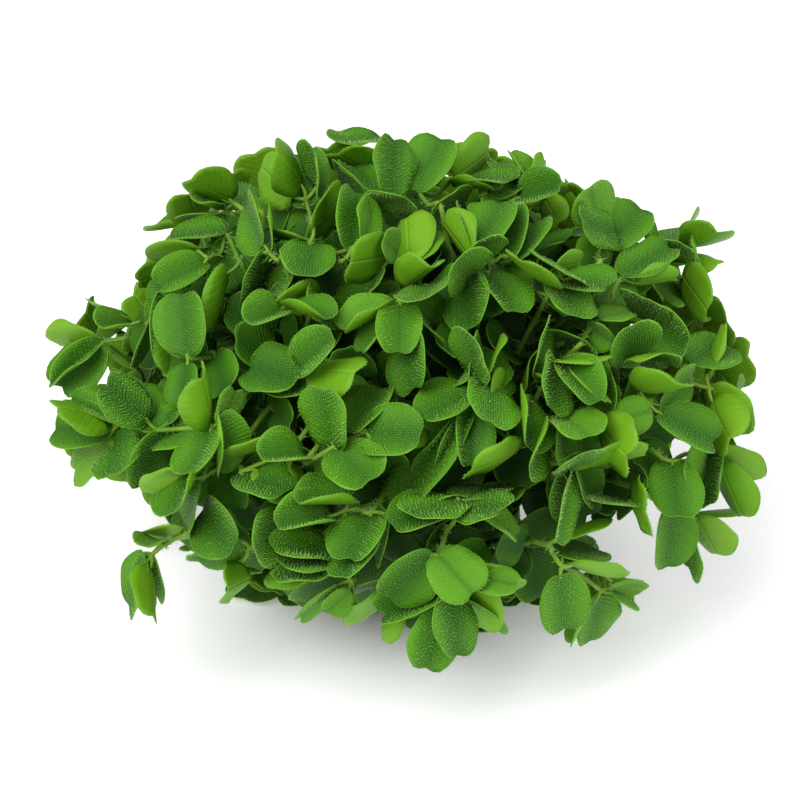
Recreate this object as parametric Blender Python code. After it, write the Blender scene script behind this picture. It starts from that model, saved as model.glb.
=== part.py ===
"""A loose clump of water spangles, the floating fern Salvinia, lying on a flat surface.

Every sprig is one solid: its stem with the leaves that grow from it. The sprigs on the near side
are laid out by eye in the frame of one picture, and those on the far side and below by a rule.
Lengths are metres, +Z is up, +X is right and +Y is away from the picture's eye. The origin is on
the surface, under the middle of the clump.
"""

import math

import bmesh
import bpy
from mathutils import Matrix, Vector
from mathutils.bvhtree import BVHTree

# The clump: a mound, wider than deep and deeper than high, pressed flat where it lies
CLUMP_RADII = Vector((0.066, 0.058, 0.046))
CLUMP_CENTRE = Vector((0.0, 0.0, 0.040))

# A full-grown leaf: broad oval, shallowly folded along its midrib
LEAF_LENGTH = 0.0112
LEAF_WIDTH = 0.0100
LEAF_THICKNESS = 0.0011
LEAF_SIDES = 8
LEAF_MIDDLE = 0.42
OUTLINE_POWER = 0.8
YOUNG_LEAF = 0.6
OPEN_FOLD = math.radians(14)
FOLD_SPREAD = math.radians(16)
BOAT_FOLD = math.radians(48)

# Stems, and the older runners in the heart of the clump that they spring from
STEM_RADIUS = 0.0007
WHORL_LENGTH = 0.0009
WHORL_LEAVES = 2
BLADE_START = 0.15
PETIOLE = 0.0025
STEM_NUDGE = 0.0012
STEM_BARE = 0.0016
RUNNER_RADIUS = 0.0011
RUNNER_TURN = math.radians(312)
RUNNER_STATIONS = 26
RUNNER_SIZE = 0.40
RUNNER_LEVELS = (0.014, 0.029, 0.044, 0.059)
CLEARANCE = 0.0003

# The picture: the eye looks along +Y and down, and its middle pixel meets the clump's centre
VIEW_ELEVATION = math.radians(30)
VIEW_DISTANCE = 0.411
VIEW_PIXELS = 2222.0
VIEW_MIDDLE = (400, 400)

# Depth of a stem's nodes below the clump's surface, and one step further in for each layer
NODE_DEPTH = 0.0035
LAYER_DEPTH = 0.0045

# Sprigs on the near side: name, nodes of the stem from its inner to its outer end, and leaves.
# A node is a pixel of the picture, across and down. A leaf is the pixels of its base and tip,
# the width it shows in pixels, the face it shows, and its layer, 0 at the front. The faces are
# T upper, B upper of a leaf folded like a boat, U under, F under of a folded leaf. Lower-case
# letters are young leaves.
NEAR_SPRIGS = {
    "left_tip_sprig": (
        [(134, 324), (104, 342)],
        [
            (102, 343, 60, 389, 44, "B", 0),
            (103, 340, 52, 342, 22, "U", 1),
            (98, 345, 46, 385, 22, "T", 1),
            (134, 324, 97, 332, 22, "B", 0),
            (134, 322, 92, 316, 14, "U", 1),
            (106, 348, 86, 389, 28, "T", 1),
        ],
    ),
    "left_shoulder_sprig": (
        [(188, 357), (165, 300)],
        [
            (188, 357, 184, 290, 50, "T", 0),
            (163, 296, 152, 373, 34, "T", 1),
            (165, 330, 180, 376, 22, "U", 1),
            (128, 338, 124, 366, 10, "t", 1),
        ],
    ),
    "left_middle_sprig": (
        [(202, 426), (157, 430), (121, 423)],
        [
            (157, 430, 132, 384, 50, "T", 0),
            (112, 430, 54, 432, 47, "T", 0),
            (148, 420, 97, 384, 45, "T", 1),
            (168, 425, 178, 372, 48, "T", 1),
            (120, 423, 66, 396, 18, "B", 1),
            (105, 420, 58, 398, 32, "U", 2),
            (123, 425, 117, 484, 40, "T", 0),
            (102, 448, 65, 475, 36, "U", 1),
            (158, 430, 138, 483, 40, "T", 1),
            (200, 425, 165, 440, 40, "T", 1),
        ],
    ),
    "left_inner_sprig": (
        [(206, 476), (211, 428)],
        [
            (212, 429, 190, 480, 36, "T", 0),
            (211, 427, 210, 372, 24, "U", 0),
            (222, 425, 232, 385, 18, "t", 1),
            (224, 470, 219, 406, 26, "B", 0),
            (200, 478, 184, 529, 22, "T", 0),
            (222, 446, 203, 500, 18, "U", 1),
            (168, 470, 150, 495, 30, "U", 2),
            (168, 472, 178, 518, 30, "T", 1),
        ],
    ),
    "left_hanging_sprig": (
        [(202, 524), (185, 535), (165, 545), (152, 555)],
        [
            (203, 510, 235, 548, 48, "T", 0),
            (188, 528, 151, 549, 28, "U", 0),
            (158, 540, 142, 546, 18, "t", 0),
            (150, 552, 158, 596, 30, "B", 0),
            (146, 560, 137, 608, 22, "T", 1),
            (150, 565, 155, 621, 32, "U", 0),
        ],
    ),
    "lower_left_sprig": (
        [(290, 535), (250, 548), (238, 570)],
        [
            (245, 540, 195, 553, 22, "T", 0),
            (275, 515, 245, 555, 40, "T", 1),
            (275, 590, 224, 590, 34, "F", 0),
            (262, 575, 235, 563, 18, "u", 1),
        ],
    ),
    "lower_front_left_sprig": (
        [(352, 580), (340, 566)],
        [
            (342, 570, 305, 597, 44, "T", 0),
            (335, 565, 274, 588, 36, "T", 0),
            (335, 560, 278, 572, 26, "T", 1),
            (330, 548, 269, 548, 18, "T", 0),
            (300, 552, 259, 548, 18, "T", 1),
            (300, 565, 268, 566, 24, "U", 2),
            (310, 598, 292, 617, 14, "t", 1),
            (350, 590, 326, 612, 26, "t", 1),
        ],
    ),
    "front_middle_left_sprig": (
        [(371, 512), (345, 510)],
        [
            (331, 516, 273, 526, 34, "B", 0),
            (352, 503, 293, 505, 20, "B", 0),
            (372, 514, 345, 563, 46, "T", 0),
            (395, 510, 378, 556, 32, "T", 1),
            (345, 512, 314, 545, 22, "F", 1),
            (378, 555, 345, 585, 34, "T", 2),
        ],
    ),
    "front_foot_sprig": (
        [(400, 600), (392, 590)],
        [
            (392, 590, 354, 625, 30, "U", 1),
            (395, 578, 348, 597, 22, "U", 1),
            (405, 612, 378, 632, 20, "u", 1),
        ],
    ),
    "centre_left_sprig": (
        [(290, 450), (240, 472)],
        [
            (240, 474, 288, 497, 40, "T", 0),
            (316, 458, 256, 458, 32, "B", 0),
            (280, 437, 238, 468, 16, "U", 1),
            (265, 468, 311, 489, 16, "U", 1),
            (285, 500, 318, 486, 12, "u", 1),
        ],
    ),
    "centre_sprig": (
        [(305, 463), (334, 447), (360, 433)],
        [
            (335, 447, 375, 492, 56, "T", 0),
            (363, 433, 424, 435, 52, "T", 0),
            (333, 446, 322, 383, 42, "T", 0),
            (365, 430, 427, 423, 34, "U", 1),
            (350, 432, 384, 388, 38, "T", 1),
        ],
    ),
    "upper_left_inner_sprig": (
        [(330, 362), (307, 374)],
        [
            (318, 420, 278, 378, 50, "T", 1),
            (298, 378, 250, 375, 48, "T", 1),
            (300, 367, 336, 333, 36, "B", 0),
            (310, 372, 352, 366, 26, "U", 1),
        ],
    ),
    "heart_left_sprig": (
        [(310, 312), (286, 307)],
        [
            (283, 308, 243, 330, 34, "B", 0),
            (287, 306, 330, 328, 18, "B", 0),
            (345, 345, 320, 305, 40, "T", 2),
            (262, 305, 313, 302, 18, "U", 1),
        ],
    ),
    "upper_left_tip_sprig": (
        [(262, 212), (234, 203), (220, 207)],
        [
            (232, 200, 188, 178, 42, "U", 1),
            (238, 205, 229, 183, 46, "T", 0),
            (218, 205, 194, 209, 14, "t", 0),
            (216, 206, 205, 184, 12, "u", 1),
            (225, 215, 187, 208, 14, "B", 1),
        ],
    ),
    "upper_left_sprig": (
        [(240, 262), (226, 234), (208, 258)],
        [
            (212, 240, 243, 291, 44, "T", 0),
            (226, 232, 164, 238, 20, "T", 0),
            (207, 262, 153, 290, 34, "B", 0),
            (200, 248, 154, 266, 22, "U", 1),
            (212, 279, 214, 338, 18, "U", 1),
        ],
    ),
    "crown_left_sprig": (
        [(312, 220), (306, 200)],
        [
            (310, 205, 305, 153, 50, "T", 0),
            (275, 195, 258, 165, 34, "U", 1),
            (300, 180, 285, 150, 38, "U", 2),
            (335, 170, 322, 144, 24, "T", 1),
        ],
    ),
    "crown_sprig": (
        [(378, 205), (378, 172), (380, 140)],
        [
            (380, 137, 331, 152, 22, "T", 0),
            (378, 172, 336, 160, 26, "U", 0),
            (365, 195, 336, 172, 28, "T", 1),
            (378, 192, 350, 173, 14, "T", 2),
            (395, 195, 388, 136, 38, "T", 0),
            (372, 203, 412, 193, 30, "T", 1),
        ],
    ),
    "upper_heart_sprig": (
        [(340, 262), (350, 250), (310, 243)],
        [
            (310, 243, 305, 283, 52, "T", 0),
            (350, 250, 348, 195, 42, "T", 0),
            (372, 240, 370, 205, 18, "T", 1),
            (312, 228, 344, 195, 30, "U", 1),
            (285, 250, 280, 292, 22, "B", 1),
            (308, 240, 274, 247, 18, "U", 2),
        ],
    ),
    "shaded_left_sprig": (
        [(285, 262), (270, 254)],
        [
            (270, 255, 271, 222, 20, "T", 1),
            (305, 280, 268, 298, 28, "T", 2),
            (262, 245, 250, 200, 26, "T", 2),
            (262, 250, 252, 298, 24, "T", 2),
        ],
    ),
    "centre_top_sprig": (
        [(418, 280), (410, 258), (391, 255)],
        [
            (410, 262, 405, 210, 42, "U", 0),
            (412, 268, 425, 236, 22, "U", 1),
            (397, 253, 382, 237, 28, "t", 0),
            (390, 255, 351, 265, 44, "U", 0),
            (375, 275, 345, 318, 38, "T", 1),
            (385, 300, 433, 266, 28, "F", 0),
        ],
    ),
    "crown_middle_sprig": (
        [(440, 205), (420, 192), (452, 180)],
        [
            (415, 190, 445, 141, 46, "T", 1),
            (453, 177, 499, 150, 36, "U", 0),
            (422, 228, 457, 200, 38, "T", 1),
            (450, 182, 497, 198, 20, "T", 1),
            (470, 178, 514, 185, 18, "T", 1),
        ],
    ),
    "crown_right_sprig": (
        [(512, 215), (515, 198), (545, 196)],
        [
            (518, 198, 566, 187, 32, "B", 0),
            (495, 200, 535, 175, 22, "T", 0),
            (505, 175, 510, 148, 14, "t", 1),
            (530, 172, 494, 164, 16, "T", 1),
            (520, 168, 546, 155, 14, "u", 1),
            (545, 198, 560, 226, 28, "u", 0),
        ],
    ),
    "right_shoulder_sprig": (
        [(600, 262), (604, 240)],
        [
            (605, 247, 642, 212, 46, "T", 0),
            (603, 243, 590, 277, 46, "T", 0),
            (620, 235, 578, 220, 36, "T", 1),
            (595, 212, 588, 184, 36, "T", 1),
            (562, 205, 576, 238, 14, "T", 1),
        ],
    ),
    "right_tip_upper_sprig": (
        [(640, 258), (652, 250), (687, 247)],
        [
            (648, 250, 689, 240, 30, "T", 0),
            (650, 235, 688, 222, 22, "T", 1),
            (685, 236, 708, 230, 18, "u", 1),
            (688, 246, 721, 240, 20, "U", 0),
            (693, 255, 720, 262, 16, "u", 1),
            (688, 248, 710, 277, 32, "T", 0),
        ],
    ),
    "right_shaded_sprig": (
        [(612, 300), (622, 278), (676, 276)],
        [
            (622, 275, 674, 253, 32, "T", 0),
            (670, 262, 692, 260, 12, "u", 1),
            (682, 275, 709, 312, 36, "U", 0),
            (668, 298, 681, 276, 16, "u", 1),
        ],
    ),
    "right_middle_sprig": (
        [(626, 345), (650, 320)],
        [
            (649, 320, 645, 287, 46, "T", 0),
            (652, 318, 696, 347, 46, "T", 0),
            (640, 375, 630, 320, 50, "T", 0),
            (650, 378, 669, 348, 26, "T", 1),
        ],
    ),
    "right_inner_sprig": (
        [(580, 345), (596, 323)],
        [
            (598, 318, 634, 312, 18, "t", 0),
            (588, 325, 617, 342, 24, "t", 0),
            (590, 345, 560, 339, 16, "T", 1),
        ],
    ),
    "upper_right_sprig": (
        [(480, 300), (470, 280), (488, 272)],
        [
            (470, 281, 459, 259, 52, "T", 0),
            (470, 280, 478, 335, 50, "T", 0),
            (487, 272, 515, 319, 36, "T", 0),
            (490, 272, 493, 248, 22, "T", 1),
        ],
    ),
    "upper_back_sprig": (
        [(486, 262), (502, 255)],
        [
            (505, 262, 516, 214, 42, "T", 0),
            (480, 250, 502, 197, 44, "T", 1),
            (520, 262, 539, 225, 36, "T", 1),
            (440, 252, 440, 218, 28, "U", 2),
            (470, 262, 482, 230, 38, "T", 2),
            (462, 240, 463, 212, 20, "T", 2),
        ],
    ),
    "upper_far_right_sprig": (
        [(548, 295), (562, 280)],
        [
            (563, 280, 572, 327, 44, "T", 0),
            (560, 280, 614, 290, 28, "T", 0),
            (578, 277, 535, 265, 26, "T", 0),
            (508, 278, 551, 303, 20, "T", 1),
            (548, 285, 510, 272, 20, "T", 1),
            (548, 250, 582, 262, 20, "u", 1),
        ],
    ),
    "centre_upper_sprig": (
        [(412, 318), (400, 301), (425, 286)],
        [
            (400, 302, 397, 361, 44, "B", 0),
            (392, 300, 350, 343, 28, "B", 0),
            (378, 325, 366, 359, 18, "t", 1),
            (405, 345, 415, 395, 48, "T", 1),
            (420, 305, 442, 342, 28, "T", 1),
            (428, 284, 422, 309, 46, "T", 0),
        ],
    ),
    "centre_right_sprig": (
        [(475, 390), (478, 405), (516, 446)],
        [
            (473, 390, 420, 423, 36, "T", 0),
            (497, 385, 490, 427, 50, "T", 0),
            (475, 392, 481, 343, 40, "T", 1),
            (485, 388, 500, 343, 22, "T", 1),
            (470, 350, 482, 326, 32, "T", 1),
            (466, 350, 456, 382, 14, "t", 1),
            (524, 392, 508, 375, 14, "u", 1),
            (470, 400, 465, 472, 38, "B", 0),
            (515, 447, 504, 410, 26, "B", 0),
            (518, 450, 473, 477, 16, "U", 1),
            (445, 420, 440, 472, 28, "T", 2),
            (400, 460, 385, 520, 46, "T", 2),
            (400, 445, 420, 486, 30, "T", 2),
        ],
    ),
    "right_centre_sprig": (
        [(548, 378), (556, 361)],
        [
            (553, 362, 614, 358, 18, "T", 0),
            (555, 360, 545, 415, 34, "T", 0),
            (562, 360, 597, 410, 38, "B", 0),
            (590, 372, 612, 402, 16, "u", 1),
            (525, 375, 547, 321, 16, "T", 1),
        ],
    ),
    "right_bright_sprig": (
        [(578, 432), (566, 416), (600, 425)],
        [
            (563, 415, 591, 442, 42, "T", 0),
            (600, 425, 623, 460, 40, "U", 0),
            (618, 420, 649, 411, 38, "t", 0),
            (640, 385, 600, 380, 30, "T", 1),
            (560, 415, 560, 482, 22, "T", 1),
        ],
    ),
    "right_lower_inner_sprig": (
        [(560, 462), (548, 428), (526, 396)],
        [
            (524, 393, 522, 452, 26, "T", 1),
            (545, 425, 529, 473, 28, "T", 1),
            (600, 480, 583, 448, 38, "T", 0),
            (578, 460, 585, 498, 24, "B", 0),
            (598, 485, 650, 450, 18, "U", 0),
            (600, 487, 551, 545, 18, "T", 0),
            (570, 455, 559, 507, 34, "T", 2),
        ],
    ),
    "right_edge_sprig": (
        [(648, 402), (688, 372), (709, 388)],
        [
            (688, 360, 727, 349, 42, "T", 0),
            (712, 385, 742, 440, 36, "U", 0),
            (712, 400, 723, 439, 40, "U", 1),
            (638, 392, 680, 388, 22, "U", 0),
            (660, 408, 692, 376, 32, "T", 1),
            (668, 422, 716, 449, 38, "T", 0),
            (668, 455, 650, 410, 34, "T", 1),
            (697, 330, 720, 320, 10, "u", 1),
        ],
    ),
    "lower_right_sprig": (
        [(655, 452), (672, 461), (714, 450)],
        [
            (672, 462, 678, 522, 52, "T", 0),
            (712, 450, 716, 510, 36, "T", 0),
            (690, 458, 700, 489, 32, "T", 1),
            (720, 452, 758, 493, 32, "F", 0),
            (722, 465, 741, 522, 34, "U", 1),
        ],
    ),
    "right_hanging_sprig": (
        [(640, 490), (672, 508), (692, 517)],
        [
            (672, 508, 668, 571, 40, "T", 0),
            (695, 515, 719, 557, 36, "U", 1),
            (690, 530, 688, 574, 26, "T", 1),
            (655, 462, 620, 502, 36, "T", 1),
            (600, 543, 645, 514, 36, "U", 0),
            (600, 540, 600, 508, 20, "T", 1),
        ],
    ),
    "lower_right_front_sprig": (
        [(548, 545), (562, 566), (600, 590)],
        [
            (560, 575, 565, 634, 50, "T", 0),
            (600, 592, 590, 645, 36, "T", 0),
            (570, 563, 618, 592, 20, "U", 0),
            (585, 615, 570, 648, 18, "t", 1),
            (612, 590, 646, 576, 14, "t", 0),
            (612, 592, 638, 602, 22, "t", 0),
            (570, 537, 594, 510, 22, "U", 1),
            (560, 555, 600, 548, 28, "T", 1),
        ],
    ),
    "front_centre_sprig": (
        [(440, 550), (455, 520), (459, 502)],
        [
            (450, 505, 390, 530, 38, "T", 0),
            (460, 505, 509, 516, 38, "T", 0),
            (460, 500, 407, 522, 22, "T", 0),
            (458, 495, 413, 497, 18, "T", 1),
            (462, 500, 500, 492, 16, "T", 1),
            (505, 512, 520, 538, 20, "t", 1),
        ],
    ),
    "front_sprig": (
        [(455, 575), (436, 554), (449, 591)],
        [
            (436, 553, 475, 598, 54, "T", 0),
            (433, 553, 384, 591, 48, "T", 0),
            (450, 585, 380, 623, 40, "B", 0),
            (447, 602, 419, 668, 48, "T", 0),
            (450, 595, 456, 660, 32, "T", 1),
            (492, 570, 483, 634, 40, "U", 1),
            (493, 555, 516, 603, 36, "U", 1),
            (545, 625, 498, 625, 18, "T", 2),
            (543, 568, 520, 590, 26, "t", 1),
        ],
    ),
}

# Sprigs on the far side, wound over the mound by a rule
FAR_POINTS = 44
FAR_NODES = 5
FAR_STEP = 0.0085
FAR_CURVE = math.radians(15)
FAR_FACING = 0.02
FAR_LOWEST = 0.019
FAR_DEPTH = 0.0065
FAR_FOREMOST = 0.0
GOLDEN_ANGLE = math.pi * (3 - math.sqrt(5))

# Sprigs under the clump, pressed flat on the surface
UNDER_SPRIGS = 4
UNDER_TURN = math.radians(60)
UNDER_NODES = (0.0255, 0.0165, 0.0070)
UNDER_HEIGHT = 0.0011
UNDER_SPREAD = math.radians(65)
BACKWARD_LEAF = math.radians(188)

# Leaves that the solids leave out, because they run through their own stem or its next leaf: the
# sprig, and the places of such leaves in the order in which they grow
FINE_ONLY = {
    "upper_left_inner_sprig": (3,),
    "crown_right_sprig": (1,),
    "shaded_left_sprig": (0,),
    "front_centre_sprig": (2, 4),
    "upper_far_right_sprig": (0,),
}

LEAF_GREEN = (0.075, 0.250, 0.026, 1.0)
STEM_GREEN = (0.290, 0.420, 0.110, 1.0)
LEAF_ROUGHNESS = 0.45

FORWARD = Vector((0, math.cos(VIEW_ELEVATION), -math.sin(VIEW_ELEVATION)))
UPWARD = Vector((0, math.sin(VIEW_ELEVATION), math.cos(VIEW_ELEVATION)))
EYE = CLUMP_CENTRE - VIEW_DISTANCE * FORWARD


def sight_line(pixel):
    """Direction from the eye through a pixel, with a part of one along the view's axis."""
    across = (pixel[0] - VIEW_MIDDLE[0]) / VIEW_PIXELS
    down = (pixel[1] - VIEW_MIDDLE[1]) / VIEW_PIXELS
    return FORWARD + Vector((across, 0, 0)) - down * UPWARD


def seen_point(pixel, distance):
    """The point seen at a pixel, at a distance from the eye along the view's axis."""
    return EYE + distance * sight_line(pixel)


def in_radii(offset, depth):
    """An offset from the centre, in units of the mound's radii less a depth."""
    return Vector(part / (radius - depth) for part, radius in zip(offset, CLUMP_RADII))


def mound_distance(pixel, depth):
    """Distance at which a pixel's sight line meets the mound, or passes nearest to it."""
    line = sight_line(pixel)
    start, step = in_radii(EYE - CLUMP_CENTRE, depth), in_radii(line, depth)
    squared, half = step.dot(step), start.dot(step)
    within = half * half - squared * (start.dot(start) - 1)
    on_mound = (-half - math.sqrt(max(within, 0))) / squared
    on_ground = (EYE.z - LEAF_THICKNESS) / -line.z
    return min(on_mound, on_ground)


def mound_point(direction, depth):
    """Where the ray from the centre along a direction leaves the mound, at a depth in it."""
    point = CLUMP_CENTRE + direction / in_radii(direction, depth).length
    point.z = max(point.z, UNDER_HEIGHT)
    return point


def mound_outward(point):
    """Unit normal of the mound at a point."""
    offset = point - CLUMP_CENTRE
    return Vector(part / radius**2 for part, radius in zip(offset, CLUMP_RADII)).normalized()


class Leaf:
    """A blade from its base to its tip, folded upward on both sides of its midrib."""

    def __init__(self, base, tip, normal, width, fold, resting=False):
        self.base, self.width, self.fold, self.resting = base, width, fold, resting
        self.length = (tip - base).length
        self.along = (tip - base).normalized()
        self.across = normal.cross(self.along).normalized()
        self.normal = self.along.cross(self.across)

    def point(self, along, across, rise=0.0):
        """Along runs from 0 at the base to 1 at the tip, and across from -1 to 1."""
        side = across * self.width / 2
        return (
            self.base
            + along * self.length * self.along
            + side * math.cos(self.fold) * self.across
            + (abs(side) * math.sin(self.fold) + rise) * self.normal
        )

    def rim(self):
        """Points of the blade's edge, up one side from the base to the tip and down the other."""
        turns = [math.tau * (step / LEAF_SIDES - 0.5) for step in range(1, LEAF_SIDES)]
        sides = [math.copysign(abs(math.sin(turn)) ** OUTLINE_POWER, turn) for turn in turns]
        return [self.point((1 + math.cos(turn)) / 2, side) for turn, side in zip(turns, sides)]

    def faces_middle(self, swell=0.0):
        """The middle points of the upper and the under face."""
        thick = LEAF_THICKNESS / 2 + swell
        low = 0.0 if self.resting else -thick
        return self.point(LEAF_MIDDLE, 0, thick), self.point(LEAF_MIDDLE, 0, low)

    def stand_in(self, root, swell=0.0):
        """A closed blade that runs back to root, to try whether the leaf has room."""
        shape = bmesh.new()
        bmesh.ops.create_uvsphere(shape, u_segments=LEAF_SIDES, v_segments=2, radius=1)
        upper, under = self.faces_middle(swell)
        for vert in shape.verts:
            aside, ahead, above = vert.co
            if abs(above) > 0.5:
                vert.co = upper if above > 0 else under
            elif ahead < -0.99:
                vert.co = root
            else:
                across = math.copysign(abs(aside) ** OUTLINE_POWER, -aside)
                vert.co = self.point((1 + ahead) / 2, across)
        return shape

    def draw_out(self, shape, face):
        """Replaces a face of a stem by this blade, lofted from the face's four corners."""
        corners = [loop.vert for loop in face.loops]
        centre = face.calc_center_median()

        def fit(first):
            square = zip((1, -1, -1, 1), (1, 1, -1, -1), corners[first:] + corners[:first])
            return sum(
                (vert.co - centre).dot(across * self.across + up * self.normal)
                for across, up, vert in square
            )

        first = max(range(4), key=fit)
        upper_plus, upper_minus, under_minus, under_plus = corners[first:] + corners[:first]
        shape.faces.remove(face)
        rim = [shape.verts.new(place) for place in self.rim()]
        upper, under = [shape.verts.new(place) for place in self.faces_middle()]
        round_upper = [upper_plus, upper_minus, *rim]
        round_under = [under_plus, under_minus, *rim]
        for a, b in zip(round_upper, round_upper[1:] + round_upper[:1]):
            shape.faces.new((upper, a, b))
        for a, b in zip(round_under, round_under[1:] + round_under[:1]):
            shape.faces.new((under, b, a))
        shape.faces.new((under_plus, upper_plus, rim[-1]))
        shape.faces.new((upper_minus, under_minus, rim[0]))


class Occupied:
    """The space that the placed pieces take, so that no piece runs through another."""

    def __init__(self):
        self.taken = []

    def add(self, owner, shape, inner_shape=None):
        middle, reach = self.ball(shape)
        inner = BVHTree.FromBMesh(inner_shape) if inner_shape else None
        self.taken.append((owner, middle, reach, BVHTree.FromBMesh(shape), inner))

    def free(self, owner, shape, inner_shape=None):
        """Whether a shape misses every other piece, and its blade its own sprig's blades."""
        middle, reach = self.ball(shape)
        tree = BVHTree.FromBMesh(shape)
        inner = BVHTree.FromBMesh(inner_shape) if inner_shape else None
        for other, centre, radius, taken, taken_inner in self.taken:
            if (centre - middle).length > radius + reach:
                continue
            if other != owner and taken.overlap(tree):
                return False
            if other == owner and inner and taken_inner and taken_inner.overlap(inner):
                return False
        return True

    @staticmethod
    def ball(shape):
        middle = sum((vert.co for vert in shape.verts), Vector()) / len(shape.verts)
        return middle, max((vert.co - middle).length for vert in shape.verts)


def rod(start, end, radius):
    """A straight closed tube between two points."""
    shape = bmesh.new()
    turn = (end - start).to_track_quat("Z", "Y").to_matrix().to_4x4()
    place = Matrix.Translation((start + end) / 2) @ turn
    bmesh.ops.create_cone(
        shape, cap_ends=True, segments=6, radius1=radius, radius2=radius,
        depth=(end - start).length, matrix=place,
    )
    return shape


def runner_point(level, turn):
    """A point of the open ring that a runner makes in the heart, turn from 0 to 1 along it."""
    angle = level * GOLDEN_ANGLE + turn * RUNNER_TURN
    height = RUNNER_LEVELS[level] + 2 * RUNNER_RADIUS * math.sin(3 * angle)
    slice_size = math.sqrt(1 - ((height - CLUMP_CENTRE.z) / CLUMP_RADII.z) ** 2) * RUNNER_SIZE
    ring = Vector((math.cos(angle), math.sin(angle), 0)) * slice_size
    return Vector((ring.x * CLUMP_RADII.x, ring.y * CLUMP_RADII.y, height))


def stem_route(station, nodes):
    """Points of a stem from its runner, bowed a little upward, through its nodes."""
    reach = nodes[0] - station
    start = station + reach.normalized() * (RUNNER_RADIUS + STEM_RADIUS + CLEARANCE)
    bow = Vector((0, 0, 0.06 * reach.length))
    return [start, (start + nodes[0]) / 2 + bow, *nodes]


def stem_core(start, end):
    """The bare middle of a straight run of stem, which its own sprig's blades keep clear of."""
    inset = (end - start).normalized() * STEM_BARE
    if (end - start).length < 3 * STEM_BARE:
        return None
    return rod(start + inset, end - inset, STEM_RADIUS)


def place_stem(name, nodes, stations, occupied):
    """Joins a sprig to the nearest runner station from which the way is clear.

    Where none is, the whole sprig moves a little nearer to the eye or further from it.
    """
    for nudge in steps_outward(STEM_NUDGE, 5):
        moved = [node + FORWARD * nudge for node in nodes]
        for station in sorted(stations, key=lambda place: (place - moved[0]).length)[:30]:
            route = stem_route(station, moved)
            past_end = route[-1] + (route[-1] - route[-2]).normalized() * 2 * WHORL_LENGTH
            ends = [*route[1:], past_end]
            rods = [rod(a, b, STEM_RADIUS + CLEARANCE) for a, b in zip(route, ends)]
            if all(occupied.free(name, shape) for shape in rods):
                for shape, start, end in zip(rods, route, ends):
                    occupied.add(name, shape, stem_core(start, end))
                stations.remove(station)
                return route, moved
    raise ValueError(f"No clear way to a runner for {name}")


def place_leaf(name, node, choices, occupied):
    """The first choice of a leaf that is clear of everything placed, or None."""
    for leaf in choices:
        shape = leaf.stand_in(node, CLEARANCE)
        if not leaf.resting and min(vert.co.z for vert in shape.verts) < CLEARANCE:
            continue
        start = leaf.point(BLADE_START, 0)
        blade, neck = leaf.stand_in(start), rod(node, start, WHORL_LENGTH)
        neck_core = rod(node.lerp(start, 0.5), start, STEM_RADIUS / 2)
        if occupied.free(name, shape, blade) and occupied.free(name, neck, neck_core):
            occupied.add(name, leaf.stand_in(node, CLEARANCE / 2), blade)
            occupied.add(name, neck, neck_core)
            return leaf
    return None


def steps_outward(step, most):
    """0, then step and -step, twice step and so on, up to most of each."""
    return [0.0] + [side * step * count for count in range(1, most + 1) for side in (1, -1)]


def facing_normal(along, facing, roll, under):
    """Normal of a blade whose upper face, or under face, looks along facing but for a roll."""
    front = (facing - along * facing.dot(along)).normalized()
    side = along.cross(front)
    return (-front if under else front) * math.cos(roll) + side * math.sin(roll)


def near_leaf_choices(row, node, fold):
    """The ways in which one leaf of the picture could stand, the likeliest first."""
    base_pixel, tip_pixel, shown_width, face, layer = row[0:2], row[2:4], row[4], row[5], row[6]
    size = YOUNG_LEAF if face.islower() else 1.0
    distance = (node - EYE).dot(FORWARD)
    base = seen_point(base_pixel, distance)
    gap = base - node
    base = node + gap * min(1.0, PETIOLE / max(gap.length, PETIOLE / 2))
    shown = (seen_point(tip_pixel, distance) - base).length
    length = max(LEAF_LENGTH * size, shown * 1.01)
    lean = math.sqrt(length**2 - shown**2)
    wanted = mound_distance(tip_pixel, layer * LAYER_DEPTH)
    leans = sorted((-lean, lean), key=lambda side: abs(distance + side - wanted))

    shown_width *= distance / VIEW_PIXELS
    width = max(LEAF_WIDTH * size, shown_width)
    fold = min(BOAT_FOLD if face in "BF" else fold, math.acos(shown_width / width))
    roll = math.acos(min(1.0, shown_width / (width * math.cos(fold))))

    for lean in leans:
        for nudge in steps_outward(0.0015, 4):
            tip = seen_point(tip_pixel, distance + lean + nudge)
            if not 0.8 * length < (tip - base).length < 1.25 * length:
                continue
            along = (tip - base).normalized()
            facing = (EYE - base).normalized()
            outward = mound_outward(tip) + Vector((0, 0, 0.5))
            for change in steps_outward(math.radians(14), 1):
                normals = [
                    facing_normal(along, facing, side * (roll + change), face in "UuF")
                    for side in (1, -1)
                ]
                for normal in sorted(normals, key=outward.dot, reverse=True):
                    yield Leaf(base, tip, normal, width, fold)


def far_leaf_choices(node, along, outward, side, fold):
    """The ways in which a leaf on the far side could stand beside its stem."""
    across = outward.cross(along) * side
    for turn in steps_outward(math.radians(12), 3):
        for lift in steps_outward(math.radians(12), 3):
            spread = math.radians(68) + turn
            rise = math.radians(20) + lift
            level = along * math.cos(spread) + across * math.sin(spread)
            reach = level * math.cos(rise) + outward * math.sin(rise)
            normal = outward * math.cos(rise) - level * math.sin(rise)
            tip = node + reach * LEAF_LENGTH
            yield Leaf(node + reach * STEM_RADIUS, tip, normal, LEAF_WIDTH, fold)


def under_leaf_choices(node, direction, turn):
    """A leaf lying flat on the surface, turned from the stem's direction, or a little off it."""
    start = Vector((node.x, node.y, 0))
    for change in steps_outward(math.radians(9), 3):
        reach = Matrix.Rotation(turn + change, 3, "Z") @ direction
        tip = start + reach * LEAF_LENGTH
        yield Leaf(start + reach * STEM_RADIUS, tip, Vector((0, 0, 1)), LEAF_WIDTH, 0.0, True)


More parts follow.
